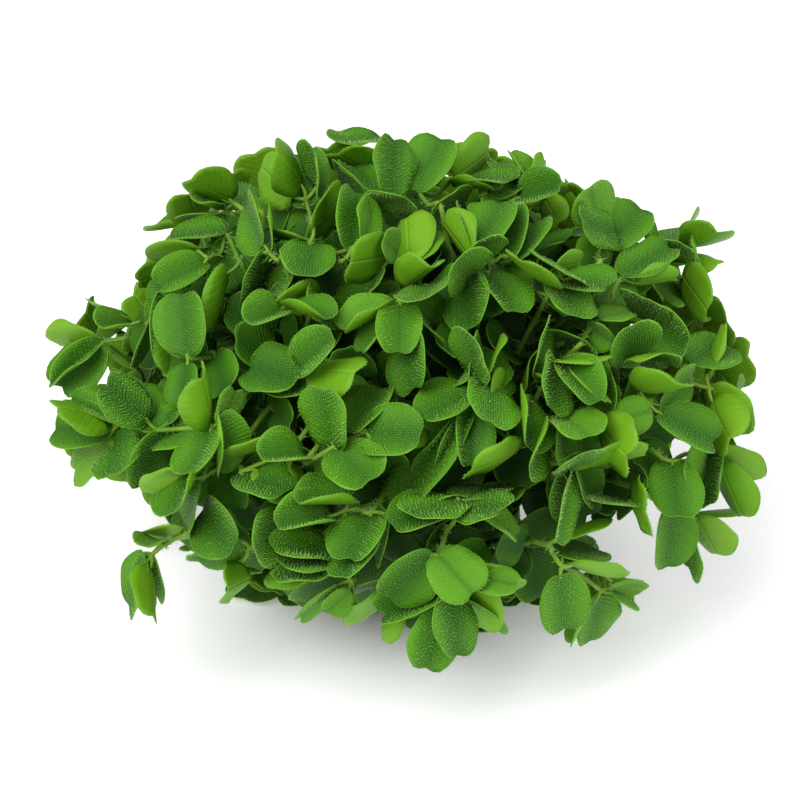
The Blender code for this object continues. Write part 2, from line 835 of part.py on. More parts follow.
def golden_share(count):
    """Even-looking parts between 0 and 1 for the numbers 0, 1, 2 and so on."""
    return (count * (math.sqrt(5) - 1) / 2) % 1


def leaf_fold(count):
    return OPEN_FOLD + FOLD_SPREAD * golden_share(count)


def near_nodes(pixels):
    return [seen_point(pixel, mound_distance(pixel, NODE_DEPTH)) for pixel in pixels]


def far_nodes():
    """Names and node lists of the far sprigs, each a short way wound over the mound."""
    sprigs = {}
    for count in range(FAR_POINTS):
        height = 1 - 2 * (count + 0.5) / FAR_POINTS
        ring = math.sqrt(1 - height * height)
        turn = count * GOLDEN_ANGLE
        direction = Vector((ring * math.cos(turn), ring * math.sin(turn), height))
        start = mound_point(direction, FAR_DEPTH)
        outward = mound_outward(start)
        if outward.dot(FORWARD) < FAR_FACING or start.z < FAR_LOWEST or start.y < FAR_FOREMOST:
            continue
        heading = outward.orthogonal().normalized()
        heading.rotate(Matrix.Rotation(turn, 3, outward))
        if heading.y < 0:
            heading = -heading
        nodes = [start]
        while len(nodes) < FAR_NODES:
            outward = mound_outward(nodes[-1])
            heading = (heading - outward * heading.dot(outward)).normalized()
            heading.rotate(Matrix.Rotation(FAR_CURVE, 3, outward))
            step = nodes[-1] + heading * FAR_STEP - CLUMP_CENTRE
            nodes.append(mound_point(step, FAR_DEPTH))
        sprigs[f"far_sprig_{len(sprigs) + 1:02d}"] = nodes
    return sprigs


def under_nodes():
    """Names and node lists of the sprigs that lie flat below the clump."""
    sprigs = {}
    for count in range(UNDER_SPRIGS):
        turn = count * UNDER_TURN
        outward = Vector((math.cos(turn), math.sin(turn), 0))
        nodes = [outward * radius + Vector((0, 0, UNDER_HEIGHT)) for radius in UNDER_NODES]
        sprigs[f"under_sprig_{count + 1}"] = nodes
    return sprigs


def laid_out_clump():
    """Every sprig as its stem's route and its leaves with their nodes, none through another."""
    occupied = Occupied()
    stations = []
    for level in range(len(RUNNER_LEVELS)):
        ring = [runner_point(level, turn / RUNNER_STATIONS) for turn in range(RUNNER_STATIONS + 1)]
        for a, b in zip(ring, ring[1:]):
            occupied.add(f"runner_{level + 1}", rod(a, b, RUNNER_RADIUS))
        stations += ring[1:-1]

    far, under = far_nodes(), under_nodes()
    nodes = {name: near_nodes(pixels) for name, (pixels, rows) in NEAR_SPRIGS.items()}
    nodes.update(under)
    nodes.update(far)
    routes = {}
    for name in nodes:
        routes[name], nodes[name] = place_stem(name, nodes[name], stations, occupied)
    leaves = {name: [] for name in nodes}

    def grow(name, node, choices):
        leaf = place_leaf(name, node, choices, occupied)
        if leaf:
            leaves[name].append((leaf, node))

    for name in under:
        places = nodes[name]
        outward = (places[0] - places[-1]).normalized()
        grow(name, places[-1], under_leaf_choices(places[-1], outward, BACKWARD_LEAF))
        for node in places:
            for side in (1, -1):
                grow(name, node, under_leaf_choices(node, outward, side * UNDER_SPREAD))

    rows = [(name, row) for name, (pixels, rows) in NEAR_SPRIGS.items() for row in rows]
    for count, (name, row) in enumerate(sorted(rows, key=lambda named: named[1][6])):
        base = seen_point(row[0:2], mound_distance(row[0:2], NODE_DEPTH))
        node = min(nodes[name], key=lambda place: (place - base).length)
        grow(name, node, near_leaf_choices(row, node, leaf_fold(count)))

    for name in far:
        places = nodes[name]
        for count, node in enumerate(places):
            ahead = places[min(count + 1, len(places) - 1)] - places[min(count, len(places) - 2)]
            outward = mound_outward(node)
            for side in (1, -1):
                fold = leaf_fold(2 * count + side)
                grow(name, node, far_leaf_choices(node, ahead.normalized(), outward, side, fold))
    return routes, nodes, leaves


def plant_material(name, colour):
    material = bpy.data.materials.new(name)
    material.use_nodes = True
    shader = material.node_tree.nodes["Principled BSDF"]
    shader.inputs["Base Color"].default_value = colour
    shader.inputs["Roughness"].default_value = LEAF_ROUGHNESS
    shader.inputs["Metallic"].default_value = 0.0
    return material


def tube(name, points, radius, collection):
    """A tube of four sides through the points, as a closed mesh object."""
    curve = bpy.data.curves.new(name, "CURVE")
    curve.dimensions = "3D"
    curve.bevel_depth = radius
    curve.bevel_resolution = 0
    curve.use_fill_caps = True
    spline = curve.splines.new("POLY")
    spline.points.add(len(points) - 1)
    for point, place in zip(spline.points, points):
        point.co = (*place, 1)
    drawn = bpy.data.objects.new(name, curve)
    collection.objects.link(drawn)
    bpy.context.view_layer.update()
    evaluated = drawn.evaluated_get(bpy.context.evaluated_depsgraph_get())
    mesh = bpy.data.meshes.new_from_object(evaluated)
    bpy.data.objects.remove(drawn)
    bpy.data.curves.remove(curve)

    shape = bmesh.new()
    shape.from_mesh(mesh)
    bmesh.ops.remove_doubles(shape, verts=shape.verts, dist=radius / 100)
    shape.to_mesh(mesh)
    shape.free()
    mesh.name = name
    solid = bpy.data.objects.new(name, mesh)
    collection.objects.link(solid)
    return solid


def nearest_side(sides, direction):
    """Takes out of the free side faces the one that looks most nearly along a direction."""
    side = max(sides, key=lambda face: face.normal.dot(direction))
    sides.remove(side)
    return side


def sprig_solid(route, nodes, leaves):
    """One closed mesh of a stem of four sides, with its leaves drawn out of its side faces."""
    grown = {tuple(node): [leaf for leaf, place in leaves if place == node] for node in nodes}
    places = list(route[:-len(nodes)])
    whorls = []
    for count, node in enumerate(nodes):
        ahead = nodes[min(count + 1, len(nodes) - 1)] - (nodes[count - 1] if count else places[-1])
        rounds = max(1, math.ceil(len(grown[tuple(node)]) / WHORL_LEAVES))
        step = ahead.normalized() * WHORL_LENGTH
        first = node - step * rounds / 2
        whorls.append((len(places), rounds))
        places += [first + step * turn for turn in range(rounds + 1)]

    shape = bmesh.new()
    bmesh.ops.create_circle(shape, cap_ends=True, segments=4, radius=STEM_RADIUS)
    heading = places[1] - places[0]
    turn = heading.to_track_quat("Z", "Y")
    for vert in shape.verts:
        vert.co = places[0] + turn @ vert.co
    cap = shape.faces[:][0]
    cap.normal_update()
    if cap.normal.dot(heading) < 0:
        cap.normal_flip()
    start = cap.copy()
    start.normal_flip()
    rings = []
    for count, place in enumerate(places[1:], 1):
        after = places[min(count + 1, len(places) - 1)] - places[count - 1]
        bend = heading.rotation_difference(after)
        cap = bmesh.ops.extrude_discrete_faces(shape, faces=[cap])["faces"][0]
        for vert in cap.verts:
            vert.co = place + bend @ (vert.co - places[count - 1])
        heading = after
        rings.append([next(side for side in edge.link_faces if side != cap) for edge in cap.edges])
    shape.normal_update()

    for node, (first, rounds) in zip(nodes, whorls):
        sides = [side for ring in rings[first:first + rounds] for side in ring]
        if node == nodes[-1]:
            sides.append(cap)
        for leaf in grown[tuple(node)]:
            leaf.draw_out(shape, nearest_side(sides, leaf.point(0.2, 0) - node))
    bmesh.ops.remove_doubles(shape, verts=shape.verts, dist=STEM_RADIUS / 1000)
    bmesh.ops.triangulate(shape, faces=shape.faces)
    return shape


def main():
    for thing in list(bpy.data.objects):
        bpy.data.objects.remove(thing)
    parts = bpy.data.collections.new("water_spangles")
    bpy.context.scene.collection.children.link(parts)

    for level in range(len(RUNNER_LEVELS)):
        name = f"runner_{level + 1}"
        points = [runner_point(level, turn / RUNNER_STATIONS) for turn in range(RUNNER_STATIONS + 1)]
        runner = tube(name, points, RUNNER_RADIUS, parts)
        runner.data.materials.append(plant_material(f"{name}_green", STEM_GREEN))

    routes, nodes, leaves = laid_out_clump()
    for name, route in routes.items():
        left_out = FINE_ONLY.get(name, ())
        grown = [leaf for count, leaf in enumerate(leaves[name]) if count not in left_out]
        mesh = bpy.data.meshes.new(name)
        sprig_solid(route, nodes[name], grown).to_mesh(mesh)
        mesh.materials.append(plant_material(f"{name}_green", LEAF_GREEN))
        parts.objects.link(bpy.data.objects.new(name, mesh))


main()
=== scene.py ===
"""The fine leaves, hairs and stems of a loose clump of water spangles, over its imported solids.

The layout is the one that made the solids, so each fine leaf stands where its solid leaf does.
Leaves for which the solids had no room, side shoots in the bald places and small leaves in the
shade are added here. Lengths are metres, +Z is up, +X is right and +Y is away from the eye of the
picture.
"""

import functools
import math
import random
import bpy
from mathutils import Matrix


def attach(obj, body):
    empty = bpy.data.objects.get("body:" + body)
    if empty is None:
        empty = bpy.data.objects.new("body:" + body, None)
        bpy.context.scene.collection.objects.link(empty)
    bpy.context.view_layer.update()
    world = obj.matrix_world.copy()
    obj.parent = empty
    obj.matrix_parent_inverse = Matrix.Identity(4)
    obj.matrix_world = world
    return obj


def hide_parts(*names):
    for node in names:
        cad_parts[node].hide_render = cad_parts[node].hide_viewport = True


bl_info = {
    "name": "Water spangles",
    "version": (1, 0, 0),
    "blender": (4, 5, 0),
    "location": "3D View > Sidebar > Water spangles",
    "description": "Adds a clump of water spangles with fine leaves and hairs, and its stage",
    "category": "Add Mesh",
}

import bmesh
import bpy
from bpy.props import FloatProperty, FloatVectorProperty, IntProperty, PointerProperty
from mathutils import Matrix, Vector
from mathutils.bvhtree import BVHTree

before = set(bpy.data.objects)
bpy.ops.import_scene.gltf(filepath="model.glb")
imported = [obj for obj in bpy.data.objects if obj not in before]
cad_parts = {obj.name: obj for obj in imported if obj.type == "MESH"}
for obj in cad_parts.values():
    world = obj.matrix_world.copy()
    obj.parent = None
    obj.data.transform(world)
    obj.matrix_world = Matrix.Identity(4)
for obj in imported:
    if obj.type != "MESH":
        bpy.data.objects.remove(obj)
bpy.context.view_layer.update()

# The clump: a mound, wider than deep and deeper than high, pressed flat where it lies
CLUMP_RADII = Vector((0.066, 0.058, 0.046))
CLUMP_CENTRE = Vector((0.0, 0.0, 0.040))

# A full-grown leaf: broad oval, shallowly folded along its midrib
LEAF_LENGTH = 0.0112
LEAF_WIDTH = 0.0100
LEAF_THICKNESS = 0.0011
LEAF_SIDES = 8
LEAF_MIDDLE = 0.42
OUTLINE_POWER = 0.8
YOUNG_LEAF = 0.6
OPEN_FOLD = math.radians(14)
FOLD_SPREAD = math.radians(16)
BOAT_FOLD = math.radians(48)

# Stems, and the older runners in the heart of the clump that they spring from
STEM_RADIUS = 0.0007
WHORL_LENGTH = 0.0009
BLADE_START = 0.15
PETIOLE = 0.0025
STEM_BARE = 0.0016
STEM_BOW = 0.06
STATIONS_TRIED = 30
RUNNER_RADIUS = 0.0011
RUNNER_TURN = math.radians(312)
RUNNER_STATIONS = 26
RUNNER_SIZE = 0.40
RUNNER_LEVELS = (0.014, 0.029, 0.044, 0.059)
CLEARANCE = 0.0003

# The picture: the eye looks along +Y and down, and its middle pixel meets the clump's centre
VIEW_ELEVATION = math.radians(30)
VIEW_DISTANCE = 0.411
VIEW_PIXELS = 2222.0
VIEW_MIDDLE = (400, 400)

# Depth of a stem's nodes below the clump's surface, and one step further in for each layer
NODE_DEPTH = 0.0035
LAYER_DEPTH = 0.0045

# How a piece is moved or turned until it has room: the size of a step, and how many each way
STEM_NUDGES = (0.0012, 5)
TIP_NUDGES = (0.0015, 4)
NEAR_TURNS = (math.radians(14), 1)
FAR_TURNS = (math.radians(12), 3)
UNDER_TURNS = (math.radians(9), 3)
SHADE_TURNS = (math.radians(24), 2)

# Leaves of the near side: how much longer than it shows a leaf is at least, the bounds of its
# length, and how much it rather faces upward
LEAST_STRETCH = 1.01
LENGTH_BOUNDS = (0.8, 1.25)
UPWARD_FACING = Vector((0, 0, 0.5))

# Sprigs on the near side: name, nodes of the stem from its inner to its outer end, and leaves.
# A node is a pixel of the picture, across and down. A leaf is the pixels of its base and tip,
# the width it shows in pixels, the face it shows, and its layer, 0 at the front. The faces are
# T upper, B upper of a leaf folded like a boat, U under, F under of a folded leaf. Lower-case
# letters are young leaves.
NEAR_SPRIGS = {
    "left_tip_sprig": ([(134, 324), (104, 342)], [
        (102, 343, 60, 389, 44, "B", 0), (103, 340, 52, 342, 22, "U", 1), (98, 345, 46, 385, 22, "T", 1),
        (134, 324, 97, 332, 22, "B", 0), (134, 322, 92, 316, 14, "U", 1), (106, 348, 86, 389, 28, "T", 1),
    ]),
    "left_shoulder_sprig": ([(188, 357), (165, 300)], [
        (188, 357, 184, 290, 50, "T", 0), (163, 296, 152, 373, 34, "T", 1), (165, 330, 180, 376, 22, "U", 1),
        (128, 338, 124, 366, 10, "t", 1),
    ]),
    "left_middle_sprig": ([(202, 426), (157, 430), (121, 423)], [
        (157, 430, 132, 384, 50, "T", 0), (112, 430, 54, 432, 47, "T", 0), (148, 420, 97, 384, 45, "T", 1),
        (168, 425, 178, 372, 48, "T", 1), (120, 423, 66, 396, 18, "B", 1), (105, 420, 58, 398, 32, "U", 2),
        (123, 425, 117, 484, 40, "T", 0), (102, 448, 65, 475, 36, "U", 1), (158, 430, 138, 483, 40, "T", 1),
        (200, 425, 165, 440, 40, "T", 1),
    ]),
    "left_inner_sprig": ([(206, 476), (211, 428)], [
        (212, 429, 190, 480, 36, "T", 0), (211, 427, 210, 372, 24, "U", 0), (222, 425, 232, 385, 18, "t", 1),
        (224, 470, 219, 406, 26, "B", 0), (200, 478, 184, 529, 22, "T", 0), (222, 446, 203, 500, 18, "U", 1),
        (168, 470, 150, 495, 30, "U", 2), (168, 472, 178, 518, 30, "T", 1),
    ]),
    "left_hanging_sprig": ([(202, 524), (185, 535), (165, 545), (152, 555)], [
        (203, 510, 235, 548, 48, "T", 0), (188, 528, 151, 549, 28, "U", 0), (158, 540, 142, 546, 18, "t", 0),
        (150, 552, 158, 596, 30, "B", 0), (146, 560, 137, 608, 22, "T", 1), (150, 565, 155, 621, 32, "U", 0),
    ]),
    "lower_left_sprig": ([(290, 535), (250, 548), (238, 570)], [
        (245, 540, 195, 553, 22, "T", 0), (275, 515, 245, 555, 40, "T", 1), (275, 590, 224, 590, 34, "F", 0),
        (262, 575, 235, 563, 18, "u", 1),
    ]),
    "lower_front_left_sprig": ([(352, 580), (340, 566)], [
        (342, 570, 305, 597, 44, "T", 0), (335, 565, 274, 588, 36, "T", 0), (335, 560, 278, 572, 26, "T", 1),
        (330, 548, 269, 548, 18, "T", 0), (300, 552, 259, 548, 18, "T", 1), (300, 565, 268, 566, 24, "U", 2),
        (310, 598, 292, 617, 14, "t", 1), (350, 590, 326, 612, 26, "t", 1),
    ]),
    "front_middle_left_sprig": ([(371, 512), (345, 510)], [
        (331, 516, 273, 526, 34, "B", 0), (352, 503, 293, 505, 20, "B", 0), (372, 514, 345, 563, 46, "T", 0),
        (395, 510, 378, 556, 32, "T", 1), (345, 512, 314, 545, 22, "F", 1), (378, 555, 345, 585, 34, "T", 2),
    ]),
    "front_foot_sprig": ([(400, 600), (392, 590)], [
        (392, 590, 354, 625, 30, "U", 1), (395, 578, 348, 597, 22, "U", 1), (405, 612, 378, 632, 20, "u", 1),
    ]),
    "centre_left_sprig": ([(290, 450), (240, 472)], [
        (240, 474, 288, 497, 40, "T", 0), (316, 458, 256, 458, 32, "B", 0), (280, 437, 238, 468, 16, "U", 1),
        (265, 468, 311, 489, 16, "U", 1), (285, 500, 318, 486, 12, "u", 1),
    ]),
    "centre_sprig": ([(305, 463), (334, 447), (360, 433)], [
        (335, 447, 375, 492, 56, "T", 0), (363, 433, 424, 435, 52, "T", 0), (333, 446, 322, 383, 42, "T", 0),
        (365, 430, 427, 423, 34, "U", 1), (350, 432, 384, 388, 38, "T", 1),
    ]),
    "upper_left_inner_sprig": ([(330, 362), (307, 374)], [
        (318, 420, 278, 378, 50, "T", 1), (298, 378, 250, 375, 48, "T", 1), (300, 367, 336, 333, 36, "B", 0),
        (310, 372, 352, 366, 26, "U", 1),
    ]),
    "heart_left_sprig": ([(310, 312), (286, 307)], [
        (283, 308, 243, 330, 34, "B", 0), (287, 306, 330, 328, 18, "B", 0), (345, 345, 320, 305, 40, "T", 2),
        (262, 305, 313, 302, 18, "U", 1),
    ]),
    "upper_left_tip_sprig": ([(262, 212), (234, 203), (220, 207)], [
        (232, 200, 188, 178, 42, "U", 1), (238, 205, 229, 183, 46, "T", 0), (218, 205, 194, 209, 14, "t", 0),
        (216, 206, 205, 184, 12, "u", 1), (225, 215, 187, 208, 14, "B", 1),
    ]),
    "upper_left_sprig": ([(240, 262), (226, 234), (208, 258)], [
        (212, 240, 243, 291, 44, "T", 0), (226, 232, 164, 238, 20, "T", 0), (207, 262, 153, 290, 34, "B", 0),
        (200, 248, 154, 266, 22, "U", 1), (212, 279, 214, 338, 18, "U", 1),
    ]),
    "crown_left_sprig": ([(312, 220), (306, 200)], [
        (310, 205, 305, 153, 50, "T", 0), (275, 195, 258, 165, 34, "U", 1), (300, 180, 285, 150, 38, "U", 2),
        (335, 170, 322, 144, 24, "T", 1),
    ]),
    "crown_sprig": ([(378, 205), (378, 172), (380, 140)], [
        (380, 137, 331, 152, 22, "T", 0), (378, 172, 336, 160, 26, "U", 0), (365, 195, 336, 172, 28, "T", 1),
        (378, 192, 350, 173, 14, "T", 2), (395, 195, 388, 136, 38, "T", 0), (372, 203, 412, 193, 30, "T", 1),
    ]),
    "upper_heart_sprig": ([(340, 262), (350, 250), (310, 243)], [
        (310, 243, 305, 283, 52, "T", 0), (350, 250, 348, 195, 42, "T", 0), (372, 240, 370, 205, 18, "T", 1),
        (312, 228, 344, 195, 30, "U", 1), (285, 250, 280, 292, 22, "B", 1), (308, 240, 274, 247, 18, "U", 2),
    ]),
    "shaded_left_sprig": ([(285, 262), (270, 254)], [
        (270, 255, 271, 222, 20, "T", 1), (305, 280, 268, 298, 28, "T", 2), (262, 245, 250, 200, 26, "T", 2),
        (262, 250, 252, 298, 24, "T", 2),
    ]),
    "centre_top_sprig": ([(418, 280), (410, 258), (391, 255)], [
        (410, 262, 405, 210, 42, "U", 0), (412, 268, 425, 236, 22, "U", 1), (397, 253, 382, 237, 28, "t", 0),
        (390, 255, 351, 265, 44, "U", 0), (375, 275, 345, 318, 38, "T", 1), (385, 300, 433, 266, 28, "F", 0),
    ]),
    "crown_middle_sprig": ([(440, 205), (420, 192), (452, 180)], [
        (415, 190, 445, 141, 46, "T", 1), (453, 177, 499, 150, 36, "U", 0), (422, 228, 457, 200, 38, "T", 1),
        (450, 182, 497, 198, 20, "T", 1), (470, 178, 514, 185, 18, "T", 1),
    ]),
    "crown_right_sprig": ([(512, 215), (515, 198), (545, 196)], [
        (518, 198, 566, 187, 32, "B", 0), (495, 200, 535, 175, 22, "T", 0), (505, 175, 510, 148, 14, "t", 1),
        (530, 172, 494, 164, 16, "T", 1), (520, 168, 546, 155, 14, "u", 1), (545, 198, 560, 226, 28, "u", 0),
    ]),
    "right_shoulder_sprig": ([(600, 262), (604, 240)], [
        (605, 247, 642, 212, 46, "T", 0), (603, 243, 590, 277, 46, "T", 0), (620, 235, 578, 220, 36, "T", 1),
        (595, 212, 588, 184, 36, "T", 1), (562, 205, 576, 238, 14, "T", 1),
    ]),
    "right_tip_upper_sprig": ([(640, 258), (652, 250), (687, 247)], [
        (648, 250, 689, 240, 30, "T", 0), (650, 235, 688, 222, 22, "T", 1), (685, 236, 708, 230, 18, "u", 1),
        (688, 246, 721, 240, 20, "U", 0), (693, 255, 720, 262, 16, "u", 1), (688, 248, 710, 277, 32, "T", 0),
    ]),
    "right_shaded_sprig": ([(612, 300), (622, 278), (676, 276)], [
        (622, 275, 674, 253, 32, "T", 0), (670, 262, 692, 260, 12, "u", 1), (682, 275, 709, 312, 36, "U", 0),
        (668, 298, 681, 276, 16, "u", 1),
    ]),
    "right_middle_sprig": ([(626, 345), (650, 320)], [
        (649, 320, 645, 287, 46, "T", 0), (652, 318, 696, 347, 46, "T", 0), (640, 375, 630, 320, 50, "T", 0),
        (650, 378, 669, 348, 26, "T", 1),
    ]),
    "right_inner_sprig": ([(580, 345), (596, 323)], [
        (598, 318, 634, 312, 18, "t", 0), (588, 325, 617, 342, 24, "t", 0), (590, 345, 560, 339, 16, "T", 1),
    ]),
    "upper_right_sprig": ([(480, 300), (470, 280), (488, 272)], [
        (470, 281, 459, 259, 52, "T", 0), (470, 280, 478, 335, 50, "T", 0), (487, 272, 515, 319, 36, "T", 0),
        (490, 272, 493, 248, 22, "T", 1),
    ]),
    "upper_back_sprig": ([(486, 262), (502, 255)], [
        (505, 262, 516, 214, 42, "T", 0), (480, 250, 502, 197, 44, "T", 1), (520, 262, 539, 225, 36, "T", 1),
        (440, 252, 440, 218, 28, "U", 2), (470, 262, 482, 230, 38, "T", 2), (462, 240, 463, 212, 20, "T", 2),
    ]),
    "upper_far_right_sprig": ([(548, 295), (562, 280)], [
        (563, 280, 572, 327, 44, "T", 0), (560, 280, 614, 290, 28, "T", 0), (578, 277, 535, 265, 26, "T", 0),
        (508, 278, 551, 303, 20, "T", 1), (548, 285, 510, 272, 20, "T", 1), (548, 250, 582, 262, 20, "u", 1),
    ]),
    "centre_upper_sprig": ([(412, 318), (400, 301), (425, 286)], [
        (400, 302, 397, 361, 44, "B", 0), (392, 300, 350, 343, 28, "B", 0), (378, 325, 366, 359, 18, "t", 1),
        (405, 345, 415, 395, 48, "T", 1), (420, 305, 442, 342, 28, "T", 1), (428, 284, 422, 309, 46, "T", 0),
    ]),
    "centre_right_sprig": ([(475, 390), (478, 405), (516, 446)], [
        (473, 390, 420, 423, 36, "T", 0), (497, 385, 490, 427, 50, "T", 0), (475, 392, 481, 343, 40, "T", 1),
        (485, 388, 500, 343, 22, "T", 1), (470, 350, 482, 326, 32, "T", 1), (466, 350, 456, 382, 14, "t", 1),
        (524, 392, 508, 375, 14, "u", 1), (470, 400, 465, 472, 38, "B", 0), (515, 447, 504, 410, 26, "B", 0),
        (518, 450, 473, 477, 16, "U", 1), (445, 420, 440, 472, 28, "T", 2), (400, 460, 385, 520, 46, "T", 2),
        (400, 445, 420, 486, 30, "T", 2),
    ]),
    "right_centre_sprig": ([(548, 378), (556, 361)], [
        (553, 362, 614, 358, 18, "T", 0), (555, 360, 545, 415, 34, "T", 0), (562, 360, 597, 410, 38, "B", 0),
        (590, 372, 612, 402, 16, "u", 1), (525, 375, 547, 321, 16, "T", 1),
    ]),
    "right_bright_sprig": ([(578, 432), (566, 416), (600, 425)], [
        (563, 415, 591, 442, 42, "T", 0), (600, 425, 623, 460, 40, "U", 0), (618, 420, 649, 411, 38, "t", 0),
        (640, 385, 600, 380, 30, "T", 1), (560, 415, 560, 482, 22, "T", 1),
    ]),
    "right_lower_inner_sprig": ([(560, 462), (548, 428), (526, 396)], [
        (524, 393, 522, 452, 26, "T", 1), (545, 425, 529, 473, 28, "T", 1), (600, 480, 583, 448, 38, "T", 0),
        (578, 460, 585, 498, 24, "B", 0), (598, 485, 650, 450, 18, "U", 0), (600, 487, 551, 545, 18, "T", 0),
        (570, 455, 559, 507, 34, "T", 2),
    ]),
    "right_edge_sprig": ([(648, 402), (688, 372), (709, 388)], [
        (688, 360, 727, 349, 42, "T", 0), (712, 385, 742, 440, 36, "U", 0), (712, 400, 723, 439, 40, "U", 1),
        (638, 392, 680, 388, 22, "U", 0), (660, 408, 692, 376, 32, "T", 1), (668, 422, 716, 449, 38, "T", 0),
        (668, 455, 650, 410, 34, "T", 1), (697, 330, 720, 320, 10, "u", 1),
    ]),
    "lower_right_sprig": ([(655, 452), (672, 461), (714, 450)], [
        (672, 462, 678, 522, 52, "T", 0), (712, 450, 716, 510, 36, "T", 0), (690, 458, 700, 489, 32, "T", 1),
        (720, 452, 758, 493, 32, "F", 0), (722, 465, 741, 522, 34, "U", 1),
    ]),
    "right_hanging_sprig": ([(640, 490), (672, 508), (692, 517)], [
        (672, 508, 668, 571, 40, "T", 0), (695, 515, 719, 557, 36, "U", 1), (690, 530, 688, 574, 26, "T", 1),
        (655, 462, 620, 502, 36, "T", 1), (600, 543, 645, 514, 36, "U", 0), (600, 540, 600, 508, 20, "T", 1),
    ]),
    "lower_right_front_sprig": ([(548, 545), (562, 566), (600, 590)], [
        (560, 575, 565, 634, 50, "T", 0), (600, 592, 590, 645, 36, "T", 0), (570, 563, 618, 592, 20, "U", 0),
        (585, 615, 570, 648, 18, "t", 1), (612, 590, 646, 576, 14, "t", 0), (612, 592, 638, 602, 22, "t", 0),
        (570, 537, 594, 510, 22, "U", 1), (560, 555, 600, 548, 28, "T", 1),
    ]),
    "front_centre_sprig": ([(440, 550), (455, 520), (459, 502)], [
        (450, 505, 390, 530, 38, "T", 0), (460, 505, 509, 516, 38, "T", 0), (460, 500, 407, 522, 22, "T", 0),
        (458, 495, 413, 497, 18, "T", 1), (462, 500, 500, 492, 16, "T", 1), (505, 512, 520, 538, 20, "t", 1),
    ]),
    "front_sprig": ([(455, 575), (436, 554), (449, 591)], [
        (436, 553, 475, 598, 54, "T", 0), (433, 553, 384, 591, 48, "T", 0), (450, 585, 380, 623, 40, "B", 0),
        (447, 602, 419, 668, 48, "T", 0), (450, 595, 456, 660, 32, "T", 1), (492, 570, 483, 634, 40, "U", 1),
        (493, 555, 516, 603, 36, "U", 1), (545, 625, 498, 625, 18, "T", 2), (543, 568, 520, 590, 26, "t", 1),
    ]),
}

# Sprigs on the far side, wound over the mound by a rule
FAR_POINTS = 44
FAR_NODES = 5
FAR_STEP = 0.0085
FAR_CURVE = math.radians(15)
FAR_FACING = 0.02
FAR_LOWEST = 0.019
FAR_DEPTH = 0.0065
FAR_FOREMOST = 0.0
FAR_SPREAD = math.radians(68)
FAR_RISE = math.radians(20)
GOLDEN_ANGLE = math.pi * (3 - math.sqrt(5))

# Sprigs under the clump, pressed flat on the surface
UNDER_SPRIGS = 4
UNDER_TURN = math.radians(60)
UNDER_NODES = (0.0255, 0.0165, 0.0070)
UNDER_HEIGHT = 0.0011
UNDER_SPREAD = math.radians(65)
BACKWARD_LEAF = math.radians(188)

FORWARD = Vector((0, math.cos(VIEW_ELEVATION), -math.sin(VIEW_ELEVATION)))
UPWARD = Vector((0, math.sin(VIEW_ELEVATION), math.cos(VIEW_ELEVATION)))
EYE = CLUMP_CENTRE - VIEW_DISTANCE * FORWARD


def sight_line(pixel):
    """Direction from the eye through a pixel, with a part of one along the view's axis."""
    across = (pixel[0] - VIEW_MIDDLE[0]) / VIEW_PIXELS
    down = (pixel[1] - VIEW_MIDDLE[1]) / VIEW_PIXELS
    return FORWARD + Vector((across, 0, 0)) - down * UPWARD


def seen_point(pixel, distance):
    """The point seen at a pixel, at a distance from the eye along the view's axis."""
    return EYE + distance * sight_line(pixel)


def in_radii(offset, depth):
    """An offset from the centre, in units of the mound's radii less a depth."""
    return Vector(part / (radius - depth) for part, radius in zip(offset, CLUMP_RADII))


def mound_distance(pixel, depth):
    """Distance at which a pixel's sight line meets the mound, or passes nearest to it."""
    line = sight_line(pixel)
    start, step = in_radii(EYE - CLUMP_CENTRE, depth), in_radii(line, depth)
    squared, half = step.dot(step), start.dot(step)
    within = half * half - squared * (start.dot(start) - 1)
    on_mound = (-half - math.sqrt(max(within, 0))) / squared
    on_ground = (EYE.z - LEAF_THICKNESS) / -line.z
    return min(on_mound, on_ground)


def mound_point(direction, depth):
    """Where the ray from the centre along a direction leaves the mound, at a depth in it."""
    point = CLUMP_CENTRE + direction / in_radii(direction, depth).length
    point.z = max(point.z, UNDER_HEIGHT)
    return point


def mound_outward(point):
    """Unit normal of the mound at a point."""
    offset = point - CLUMP_CENTRE
    return Vector(part / radius**2 for part, radius in zip(offset, CLUMP_RADII)).normalized()


class Leaf:
    """A blade from its base to its tip, folded upward on both sides of its midrib."""

    def __init__(self, base, tip, normal, width, fold, resting=False):
        self.base, self.width, self.fold, self.resting = base, width, fold, resting
        self.length = (tip - base).length
        self.along = (tip - base).normalized()
        self.across = normal.cross(self.along).normalized()
        self.normal = self.along.cross(self.across)

    def point(self, along, across, rise=0.0):
        """Along runs from 0 at the base to 1 at the tip, and across from -1 to 1."""
        side = across * self.width / 2
        return (
            self.base
            + along * self.length * self.along
            + side * math.cos(self.fold) * self.across
            + (abs(side) * math.sin(self.fold) + rise) * self.normal
        )

    def faces_middle(self, swell=0.0):
        """The middle points of the upper and the under face."""
        thick = LEAF_THICKNESS / 2 + swell
        low = 0.0 if self.resting else -thick
        return self.point(LEAF_MIDDLE, 0, thick), self.point(LEAF_MIDDLE, 0, low)

    def stand_in(self, root, swell=0.0):
        """A closed blade that runs back to root, to try whether the leaf has room."""
        shape = bmesh.new()
        bmesh.ops.create_uvsphere(shape, u_segments=LEAF_SIDES, v_segments=2, radius=1)
        upper, under = self.faces_middle(swell)
        for vert in shape.verts:
            aside, ahead, above = vert.co
            if abs(above) > 0.5:
                vert.co = upper if above > 0 else under
            elif ahead < -0.99:
                vert.co = root
            else:
                across = math.copysign(abs(aside) ** OUTLINE_POWER, -aside)
                vert.co = self.point((1 + ahead) / 2, across)
        return shape


